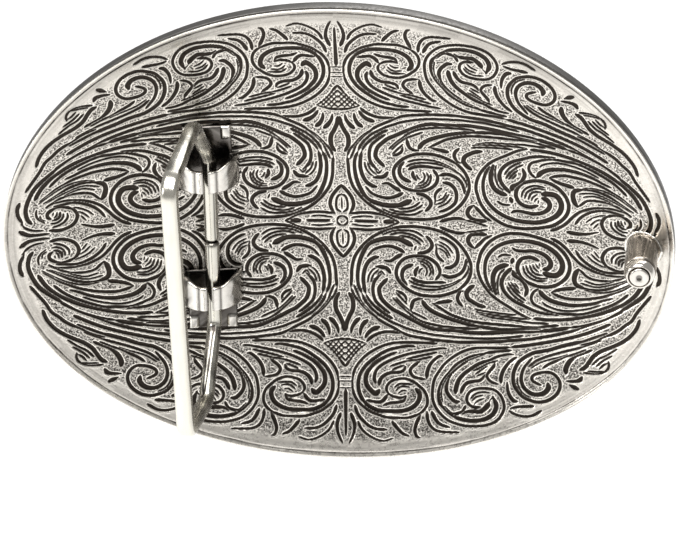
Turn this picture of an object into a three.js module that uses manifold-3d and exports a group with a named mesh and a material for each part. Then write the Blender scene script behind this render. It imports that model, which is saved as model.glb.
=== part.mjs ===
// Oval western belt buckle, seen from its back: a dished two-layer plate with a swinging wire bail
// held in two curled clips, and a belt stud. Millimetres, +Z up, +X towards the stud.
// The wearer's side (the dished back) faces -Y, the show face +Y.
// The origin is the middle of the back face.
import * as THREE from 'three';
import { mergeVertices } from 'three/addons/utils/BufferGeometryUtils.js';
import Module from 'manifold-3d';

const wasm = await Module();
wasm.setup();

// ---- plate -------------------------------------------------------------------------------------
const HALF_LENGTH = 54.2;
const HALF_HEIGHT = 40.9;
const CURVE_X = 0.00626; // curvature of the dish along its length, 1/mm
const CURVE_Z = 0.0065; // and across it
const PLATE_THICKNESS = 3.2;
const BACK_SHEET = 0.6;
const SEAM = 0.3; // open line between the back sheet and the front shell
const EDGE_BEVEL = 0.25;
const SECTORS = 72;
const RINGS = 5;

// ---- bail and clips ----------------------------------------------------------------------------
const HINGE_X = -20.8;
const HINGE_DEPTH = 4.5; // height of the hinge wire off the middle of the back
const BAIL_CENTRE_Z = -1.6; // the bail has slid down until its flare meets the upper clip
const BAIL_LEAN = [9.6, 6.4]; // degrees towards -X at rest: upper arm, lower arm
const HINGE_HALF = 15.0; // straight hinge wire, each side of the butt joint
const SHOULDER_REACH = 8.5; // how far the flared corner stands off the hinge
const SHOULDER_HALF = 25.1;
const BAR_REACH = 23.9; // belt bar to hinge line
const BAR_HALF = 22.3;
const WIRE_RADIUS = 1.15;
const BAR_WIDTH = 2.64; // the bar is pressed a little flat
const BAR_THICKNESS = 2.2;
const BUTT_GAP = 0.16;

const CLIP_X = -21.2;
const CLIP_NEAR = 8.1; // clip span along Z, from the middle of the buckle
const CLIP_FAR = 13.1;
const CLIP_HALF_WIDTH = 5.0;
const CLIP_HEIGHT = 5.3;
const CLIP_WALL = 0.9;
const CLIP_SLIT = 0.8;
const CLIP_BASE = 0.45;
const CLIP_TONGUE = 18.4; // the base runs on past the curl to here
const CLIP_TONGUE_HALF = 3.9;
const CLIP_LUG = [1.6, 2.1, 0.2]; // raised corner of the tongue: width, length, rise

// ---- stud --------------------------------------------------------------------------------------
const STUD_X = 49.0;
const STUD_RADIUS = 2.6;
const STUD_SHOULDER = 8.1;
const STUD_MOUTH = 10.1;
const STUD_LENGTH = 10.4;
const STUD_PIN_RADIUS = 1.58;
const STUD_BORE_RADIUS = 1.75;
const STUD_BORE_DEPTH = 4.4;

// ---- show face ---------------------------------------------------------------------------------
const REST_GAP = 0.3; // applied pieces lie this far off the shell
const ROPE_RADIUS = 0.95;
const ROPE_INSET = 3.1;
const PLAQUE = [22.0, 15.6, 1.0]; // half length, half height, thickness
const PLAQUE_ROPE_RADIUS = 0.65;
const ROSETTE_RADIUS = 8.4;
const ROSETTE_PETALS = 8;
const ROSETTE_THICKNESS = 0.9;
const BOSS_RADIUS = 2.4;
const SPRAY_THICKNESS = 0.8;
const SPRAY_STEPS = 12;

const group = new THREE.Group();
group.name = 'belt_buckle';

const silver = { color: 0xb9b4ab, roughness: 0.42, metalness: 1.0 };
const brightSilver = { color: 0xd9d6cf, roughness: 0.2, metalness: 1.0 };
const darkSilver = { color: 0x8d8983, roughness: 0.35, metalness: 1.0 };
const jewellersBronze = { color: 0xb98f4f, roughness: 0.3, metalness: 1.0 };

function addPart(name, geometry, look) {
  const mesh = new THREE.Mesh(geometry, new THREE.MeshStandardMaterial(look));
  mesh.name = name;
  group.add(mesh);
}

// How far the dished back stands towards the wearer at (x, z).
function dish(x, z) {
  return (CURVE_X * x * x + CURVE_Z * z * z) / 2;
}

function closedGeometry(positions, indices) {
  const geometry = new THREE.BufferGeometry();
  geometry.setAttribute('position', new THREE.Float32BufferAttribute(positions, 3));
  geometry.setIndex(indices);
  geometry.computeVertexNormals();
  return geometry;
}

// An oval disc that follows the dish. Each profile point is [share of the half axes, inset, depth]:
// depth 0 is the back face, and it grows towards the show face.
function ovalDisc(halfX, halfZ, profile, sectors) {
  const positions = [];
  const indices = [];
  positions.push(0, profile[0][2], 0);
  for (const [share, inset, depth] of profile.slice(1, -1)) {
    for (let i = 0; i < sectors; i += 1) {
      const angle = (2 * Math.PI * i) / sectors;
      const x = (halfX * share - inset) * Math.cos(angle);
      const z = (halfZ * share - inset) * Math.sin(angle);
      positions.push(x, depth - dish(x, z), z);
    }
  }
  const last = positions.length / 3;
  positions.push(0, profile[profile.length - 1][2], 0);
  const rows = profile.length - 2;
  for (let i = 0; i < sectors; i += 1) {
    const next = (i + 1) % sectors;
    indices.push(0, 1 + i, 1 + next);
    for (let row = 0; row < rows - 1; row += 1) {
      const near = 1 + row * sectors;
      const far = near + sectors;
      indices.push(near + i, far + i, near + next, near + next, far + i, far + next);
    }
    const rim = 1 + (rows - 1) * sectors;
    indices.push(rim + i, last, rim + next);
  }
  return closedGeometry(positions, indices);
}

function layerProfile(nearDepth, farDepth, bevelNear, bevelFar) {
  const profile = [[0, 0, nearDepth]];
  for (let ring = 1; ring < RINGS; ring += 1) {
    profile.push([ring / RINGS, 0, nearDepth]);
  }
  profile.push([1, bevelNear, nearDepth], [1, 0, nearDepth + bevelNear]);
  profile.push([1, 0, farDepth - bevelFar], [1, bevelFar, farDepth]);
  for (let ring = RINGS - 1; ring > 0; ring -= 1) {
    profile.push([ring / RINGS, 0, farDepth]);
  }
  profile.push([0, 0, farDepth]);
  return profile;
}

function makePlate() {
  const backSheet = layerProfile(0, BACK_SHEET, EDGE_BEVEL, 0.1);
  const frontShell = layerProfile(BACK_SHEET + SEAM, PLATE_THICKNESS, 0.1, 2 * EDGE_BEVEL);
  addPart('back_plate', ovalDisc(HALF_LENGTH, HALF_HEIGHT, backSheet, SECTORS), silver);
  addPart('front_plate', ovalDisc(HALF_LENGTH, HALF_HEIGHT, frontShell, SECTORS), silver);
}

// Sweeps an outline along points. section(i) gives [across, along] pairs, where across lies along
// sideways and along lies in the plane of the path. An open path gets flat ends.
function sweep(points, sideways, section, closed) {
  const count = points.length;
  const sides = section(0).length;
  const positions = [];
  const indices = [];
  points.forEach((point, i) => {
    const before = closed ? points[(i + count - 1) % count] : points[Math.max(i - 1, 0)];
    const after = closed ? points[(i + 1) % count] : points[Math.min(i + 1, count - 1)];
    const tangent = after.clone().sub(before).normalize();
    const inPlane = new THREE.Vector3().crossVectors(tangent, sideways).normalize();
    const across = new THREE.Vector3().crossVectors(inPlane, tangent).normalize();
    for (const [u, v] of section(i)) {
      const p = point.clone().addScaledVector(across, u).addScaledVector(inPlane, v);
      positions.push(p.x, p.y, p.z);
    }
  });
  const spans = closed ? count : count - 1;
  for (let i = 0; i < spans; i += 1) {
    const near = i * sides;
    const far = ((i + 1) % count) * sides;
    for (let k = 0; k < sides; k += 1) {
      const next = (k + 1) % sides;
      indices.push(near + k, near + next, far + k, near + next, far + next, far + k);
    }
  }
  if (!closed) {
    const end = (count - 1) * sides;
    for (let k = 1; k < sides - 1; k += 1) {
      indices.push(0, k + 1, k, end, end + k, end + k + 1);
    }
  }
  return closedGeometry(positions, indices);
}

function roundSection(halfU, halfV, sides) {
  const outline = [];
  for (let k = 0; k < sides; k += 1) {
    const angle = (2 * Math.PI * (k + 0.5)) / sides;
    outline.push([halfU * Math.cos(angle), halfV * Math.sin(angle)]);
  }
  return outline;
}

// A polyline with each inner corner rounded by a curve that starts `radius` before it.
function roundedPath(corners, steps) {
  const path = [corners[0].at];
  for (let i = 1; i < corners.length - 1; i += 1) {
    const { at, radius } = corners[i];
    const inward = corners[i - 1].at.clone().sub(at).setLength(radius).add(at);
    const outward = corners[i + 1].at.clone().sub(at).setLength(radius).add(at);
    const bend = new THREE.QuadraticBezierCurve3(inward, at, outward);
    path.push(...bend.getPoints(steps));
  }
  path.push(corners[corners.length - 1].at);
  return path;
}

// A point of the bail: how far it stands off the hinge line, its height, and its arm's lean.
function bailPoint(reach, z, lean) {
  const angle = THREE.MathUtils.degToRad(lean);
  return new THREE.Vector3(HINGE_X - reach * Math.sin(angle), -HINGE_DEPTH - reach * Math.cos(angle), z);
}

function makeBail() {
  const [upper, lower] = BAIL_LEAN;
  const z = BAIL_CENTRE_Z;
  const corners = [
    { at: bailPoint(0, z + BUTT_GAP / 2, upper) },
    { at: bailPoint(0, z + HINGE_HALF, upper), radius: 1.0 },
    { at: bailPoint(SHOULDER_REACH, z + SHOULDER_HALF, upper), radius: 1.8 },
    { at: bailPoint(BAR_REACH, z + BAR_HALF, upper), radius: 3.0 },
    { at: bailPoint(BAR_REACH, z - BAR_HALF, lower), radius: 3.0 },
    { at: bailPoint(SHOULDER_REACH, z - SHOULDER_HALF, lower), radius: 1.8 },
    { at: bailPoint(0, z - HINGE_HALF, lower), radius: 1.0 },
    { at: bailPoint(0, z - BUTT_GAP / 2, lower) },
  ];
  const path = roundedPath(corners, 5);
  const lean = THREE.MathUtils.degToRad((upper + lower) / 2);
  const sideways = new THREE.Vector3(Math.cos(lean), -Math.sin(lean), 0);
  const sides = 8;
  const toApothem = 1 / Math.cos(Math.PI / sides);
  const section = (i) => {
    const reach = Math.hypot(path[i].x - HINGE_X, path[i].y + HINGE_DEPTH);
    const flat = THREE.MathUtils.smoothstep(reach, 0.5, BAR_REACH - 1);
    const halfU = THREE.MathUtils.lerp(WIRE_RADIUS, (BAR_WIDTH / 2) * toApothem, flat);
    const halfV = THREE.MathUtils.lerp(WIRE_RADIUS, (BAR_THICKNESS / 2) * toApothem, flat);
    return roundSection(halfU, halfV, sides);
  };
  addPart('bail', sweep(path, sideways, section, false), brightSilver);
}

function toSolid(geometry) {
  const bare = geometry.clone();
  bare.deleteAttribute('normal');
  bare.deleteAttribute('uv');
  const merged = mergeVertices(bare, 1e-4);
  const vertProperties = new Float32Array(merged.attributes.position.array);
  const triVerts = new Uint32Array(merged.index.array);
  return new wasm.Manifold(new wasm.Mesh({ numProp: 3, vertProperties, triVerts }));
}

function fromSolid(solid) {
  const mesh = solid.getMesh();
  const positions = [];
  for (let i = 0; i < mesh.vertProperties.length; i += mesh.numProp) {
    positions.push(...mesh.vertProperties.slice(i, i + 3));
  }
  return closedGeometry(positions, Array.from(mesh.triVerts));
}

// Half of a clip's curled outline, from its foot to the slit, in (across, height).
function curl(halfWidth, height, foot, side) {
  const outline = [];
  const steps = 9;
  const slitAngle = Math.acos(CLIP_SLIT / 2 / halfWidth);
  const footAngle = Math.asin(Math.min((foot / height) ** (1 / 0.9), 1));
  for (let i = 0; i <= steps; i += 1) {
    const angle = THREE.MathUtils.lerp(footAngle, slitAngle, i / steps);
    outline.push([side * halfWidth * Math.cos(angle), height * Math.sin(angle) ** 0.9]);
  }
  return outline;
}

function clipOutline() {
  const innerWidth = CLIP_HALF_WIDTH - CLIP_WALL;
  const innerHeight = CLIP_HEIGHT - CLIP_WALL;
  return [
    ...curl(CLIP_HALF_WIDTH, CLIP_HEIGHT, 0, 1),
    ...curl(innerWidth, innerHeight, CLIP_BASE, 1).reverse(),
    ...curl(innerWidth, innerHeight, CLIP_BASE, -1),
    ...curl(CLIP_HALF_WIDTH, CLIP_HEIGHT, 0, -1).reverse(),
  ];
}

// A block in clip terms: across, along Z and up off the plate, each as [low, high].
function clipBlock(across, along, up) {
  const block = new THREE.BoxGeometry(across[1] - across[0], along[1] - along[0], up[1] - up[0]);
  block.translate((across[0] + across[1]) / 2, (along[0] + along[1]) / 2, (up[0] + up[1]) / 2);
  return block;
}

// Built with its curl along +Z, then bent to follow the dish. `end` is 1 for the upper clip.
function makeClip(name, end) {
  const shape = new THREE.Shape(clipOutline().map(([u, h]) => new THREE.Vector2(u, h)));
  const curled = new THREE.ExtrudeGeometry(shape, { depth: CLIP_FAR - CLIP_NEAR, bevelEnabled: false });
  curled.rotateX(Math.PI / 2);
  curled.translate(0, CLIP_FAR, 0);
  const tongueHalf = CLIP_TONGUE_HALF;
  const tongue = clipBlock([-tongueHalf, tongueHalf], [CLIP_FAR - 1, CLIP_TONGUE], [0, CLIP_BASE]);
  let solid = toSolid(curled).add(toSolid(tongue));
  const [lugWidth, lugLength, lugRise] = CLIP_LUG;
  for (const side of [-1, 1]) {
    const edge = side * tongueHalf;
    const across = [Math.min(edge, edge - side * lugWidth), Math.max(edge, edge - side * lugWidth)];
    const lug = clipBlock(across, [CLIP_TONGUE - lugLength, CLIP_TONGUE], [0.1, CLIP_BASE + lugRise]);
    solid = solid.add(toSolid(lug));
  }
  const geometry = fromSolid(solid);
  const position = geometry.attributes.position;
  for (let i = 0; i < position.count; i += 1) {
    const x = CLIP_X + position.getX(i);
    const z = position.getY(i);
    position.setXYZ(i, x, -dish(x, z) - REST_GAP - position.getZ(i), z);
  }
  // the shape above is left-handed with respect to the frame for the lower clip only
  if (end < 0) {
    for (let i = 0; i < position.count; i += 1) {
      position.setZ(i, -position.getZ(i));
    }
    flip(geometry);
  }
  geometry.computeVertexNormals();
  addPart(name, geometry, brightSilver);
}

function flip(geometry) {
  const index = geometry.index.array;
  for (let i = 0; i < index.length; i += 3) {
    const second = index[i + 1];
    index[i + 1] = index[i + 2];
    index[i + 2] = second;
  }
}

// Turns a profile of [radius, height off the plate] about the stud's axis and seats its foot.
function studLathe(profile, seated) {
  const outline = profile.map(([radius, height]) => new THREE.Vector2(radius, height));
  const geometry = mergeVertices(stripped(new THREE.LatheGeometry(outline, 24)), 1e-4);
  const position = geometry.attributes.position;
  const seat = dish(STUD_X, 0);
  for (let i = 0; i < position.count; i += 1) {
    const x = STUD_X + position.getX(i);
    const z = position.getZ(i);
    const height = position.getY(i);
    const floor = seated && height < 0.01 ? dish(x, z) + REST_GAP : seat + height;
    position.setXYZ(i, x, -floor, z);
  }
  flip(geometry);
  geometry.computeVertexNormals();
  return geometry;
}

function stripped(geometry) {
  geometry.deleteAttribute('normal');
  geometry.deleteAttribute('uv');
  return geometry;
}

function makeStud() {
  const boreFloor = STUD_MOUTH - STUD_BORE_DEPTH;
  const barrel = [
    [0, 0],
    [STUD_RADIUS, 0],
    [STUD_RADIUS, STUD_SHOULDER],
    [STUD_RADIUS - 0.25, STUD_SHOULDER + 0.2],
    [STUD_RADIUS - 0.2, STUD_SHOULDER + 0.5],
    [STUD_RADIUS - 0.35, STUD_SHOULDER + 1.4],
    [2.0, STUD_MOUTH],
    [STUD_BORE_RADIUS, STUD_MOUTH],
    [STUD_BORE_RADIUS, boreFloor],
    [0, boreFloor],
  ];
  const pin = [
    [0, boreFloor + REST_GAP],
    [STUD_PIN_RADIUS, boreFloor + REST_GAP],
    [STUD_PIN_RADIUS, STUD_LENGTH - 0.15],
    [STUD_PIN_RADIUS - 0.15, STUD_LENGTH],
    [0, STUD_LENGTH],
  ];
  addPart('stud_barrel', studLathe(barrel, true), darkSilver);
  addPart('stud_pin', studLathe(pin, false), brightSilver);
}

// A ring of round wire lying on the show face, its middle line an oval of the given half axes.
function wireRing(halfX, halfZ, radius, seatDepth, sectors) {
  const points = [];
  for (let i = 0; i < sectors; i += 1) {
    const angle = (2 * Math.PI * i) / sectors;
    const x = halfX * Math.cos(angle);
    const z = halfZ * Math.sin(angle);
    points.push(new THREE.Vector3(x, seatDepth + radius - dish(x, z), z));
  }
  const outline = roundSection(radius, radius, 6);
  return sweep(points, new THREE.Vector3(0, 1, 0), () => outline, true);
}

// Lays a flat extrusion, drawn in (x, height) with its thickness along +Z, on the show face.
function layOnFace(flat, seatDepth) {
  const geometry = mergeVertices(stripped(flat), 1e-4);
  const position = geometry.attributes.position;
  for (let i = 0; i < position.count; i += 1) {
    const x = position.getX(i);
    const z = position.getY(i);
    position.setXYZ(i, x, seatDepth + position.getZ(i) - dish(x, z), z);
  }
  flip(geometry);
  geometry.computeVertexNormals();
  return geometry;
}

function rosetteShape() {
  const points = [];
  const steps = ROSETTE_PETALS * 6;
  for (let i = 0; i < steps; i += 1) {
    const angle = (2 * Math.PI * i) / steps;
    const lobe = Math.abs(Math.cos((ROSETTE_PETALS * angle) / 2)) ** 0.6;
    const radius = ROSETTE_RADIUS * (0.62 + 0.38 * lobe);
    points.push(new THREE.Vector2(radius * Math.cos(angle), radius * Math.sin(angle)));
  }
  return new THREE.Shape(points);
}

// A leaf for one corner: a bowed middle line with a width that swells and tapers.
function cornerSpray(sideX, sideZ, seatDepth) {
  const spine = new THREE.SplineCurve([
    new THREE.Vector2(8.5, 27.0),
    new THREE.Vector2(20.0, 26.0),
    new THREE.Vector2(31.0, 20.5),
    new THREE.Vector2(39.0, 12.5),
    new THREE.Vector2(43.0, 4.5),
  ]);
  const points = spine.getPoints(SPRAY_STEPS).map(({ x, y }) => new THREE.Vector3(sideX * x, 0, sideZ * y));
  const section = (i) => {
    const half = 0.5 + 3.6 * Math.sin((Math.PI * i) / SPRAY_STEPS) ** 0.8;
    return [[0, -half], [SPRAY_THICKNESS, 0.25 - half], [SPRAY_THICKNESS, half - 0.25], [0, half]];
  };
  const leaf = sweep(points, new THREE.Vector3(0, 1, 0), section, false);
  const position = leaf.attributes.position;
  for (let i = 0; i < position.count; i += 1) {
    const depth = seatDepth + position.getY(i);
    position.setY(i, depth - dish(position.getX(i), position.getZ(i)));
  }
  leaf.computeVertexNormals();
  return leaf;
}

function makeShowFace() {
  const seat = PLATE_THICKNESS + REST_GAP;
  const ropeX = HALF_LENGTH - ROPE_INSET;
  const ropeZ = HALF_HEIGHT - ROPE_INSET;
  addPart('rope_border', wireRing(ropeX, ropeZ, ROPE_RADIUS, seat, SECTORS), jewellersBronze);

  const [plaqueX, plaqueZ, plaqueThickness] = PLAQUE;
  const plaque = [[0, 0, seat], [0.5, 0, seat], [1, 0, seat]];
  plaque.push([1, 0.3, seat + plaqueThickness], [0.5, 0, seat + plaqueThickness]);
  plaque.push([0, 0, seat + plaqueThickness]);
  addPart('centre_plaque', ovalDisc(plaqueX, plaqueZ, plaque, 48), silver);

  const ringOffset = PLAQUE_ROPE_RADIUS + REST_GAP;
  const ringX = plaqueX + ringOffset;
  const ringZ = plaqueZ + ringOffset;
  addPart('plaque_rope', wireRing(ringX, ringZ, PLAQUE_ROPE_RADIUS, seat, 48), jewellersBronze);

  const rosetteSeat = seat + plaqueThickness + REST_GAP;
  const petalSettings = { depth: ROSETTE_THICKNESS, bevelEnabled: false };
  const petals = new THREE.ExtrudeGeometry(rosetteShape(), petalSettings);
  addPart('rosette', layOnFace(petals, rosetteSeat), jewellersBronze);

  const boss = lowDome(BOSS_RADIUS);
  boss.translate(0, rosetteSeat + ROSETTE_THICKNESS + REST_GAP, 0);
  addPart('rosette_boss', boss, brightSilver);

  const corners = { ne: [1, 1], nw: [-1, 1], sw: [-1, -1], se: [1, -1] };
  for (const [corner, [sideX, sideZ]] of Object.entries(corners)) {
    addPart(`corner_spray_${corner}`, cornerSpray(sideX, sideZ, seat), jewellersBronze);
  }
}

// A low dome standing along +Y on a flat foot.
function lowDome(radius) {
  const outline = [new THREE.Vector2(0, 0)];
  const steps = 6;
  for (let i = 0; i < steps; i += 1) {
    const angle = (Math.PI * i) / (2 * steps);
    outline.push(new THREE.Vector2(radius * Math.cos(angle), 0.7 * radius * Math.sin(angle)));
  }
  outline.push(new THREE.Vector2(0, 0.7 * radius));
  return mergeVertices(stripped(new THREE.LatheGeometry(outline, 20)), 1e-4);
}

makePlate();
makeBail();
makeClip('hinge_clip_upper', 1);
makeClip('hinge_clip_lower', -1);
makeStud();
makeShowFace();

export default group;
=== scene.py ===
"""Looks of the oval belt buckle: engraved back, wire bail in two curled clips, belt stud, show face."""
import math
import bpy
import numpy as np
from mathutils import Matrix, Vector
from mathutils.kdtree import KDTree


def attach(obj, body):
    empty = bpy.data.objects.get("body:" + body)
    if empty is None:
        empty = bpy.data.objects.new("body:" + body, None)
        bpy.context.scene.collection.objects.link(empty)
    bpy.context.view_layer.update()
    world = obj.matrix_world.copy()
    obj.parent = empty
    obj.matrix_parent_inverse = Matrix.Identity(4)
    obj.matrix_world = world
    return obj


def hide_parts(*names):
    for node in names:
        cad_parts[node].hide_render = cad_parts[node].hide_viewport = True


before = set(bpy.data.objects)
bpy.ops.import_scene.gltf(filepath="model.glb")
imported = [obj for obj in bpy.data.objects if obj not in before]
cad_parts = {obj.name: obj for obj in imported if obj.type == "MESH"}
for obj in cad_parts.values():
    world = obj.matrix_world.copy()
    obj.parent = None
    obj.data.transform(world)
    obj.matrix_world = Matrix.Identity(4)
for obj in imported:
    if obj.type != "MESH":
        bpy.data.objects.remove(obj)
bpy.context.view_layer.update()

# Sizes are in millimetres, and piece() turns them into metres. The back of the buckle faces -Y.
MM = 0.001
TAU = 2 * np.pi
HALF_X, HALF_Z = 54.2, 40.9  # half axes of the plate
CURVE_X, CURVE_Z = 0.00626, 0.0065  # curvature of the dish
SHEET, SEAM, THICK = 0.6, 0.3, 3.2  # back sheet, open seam, whole plate
HINGE_X, HINGE_OFF = -20.8, 4.5  # the bail's axis, across the plate and off it
HINGE_MID = -1.6  # height at which the bail's two ends meet
CLIP_X = -21.2
SOLDER_GAP = 0.3  # under the clips and the stud
STUD_X = 49.0
SEAT = THICK + 0.3  # applied pieces of the show face start here
rng = np.random.default_rng(7)


def dish(x, z):
    """How far the plate bends towards its back at (x, z)."""
    return (CURVE_X * x * x + CURVE_Z * z * z) / 2


def on_dish(x, z, depth):
    """Points at that depth through the plate, measured from its back."""
    return np.stack([x, depth - dish(x, z), z], -1)


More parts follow.
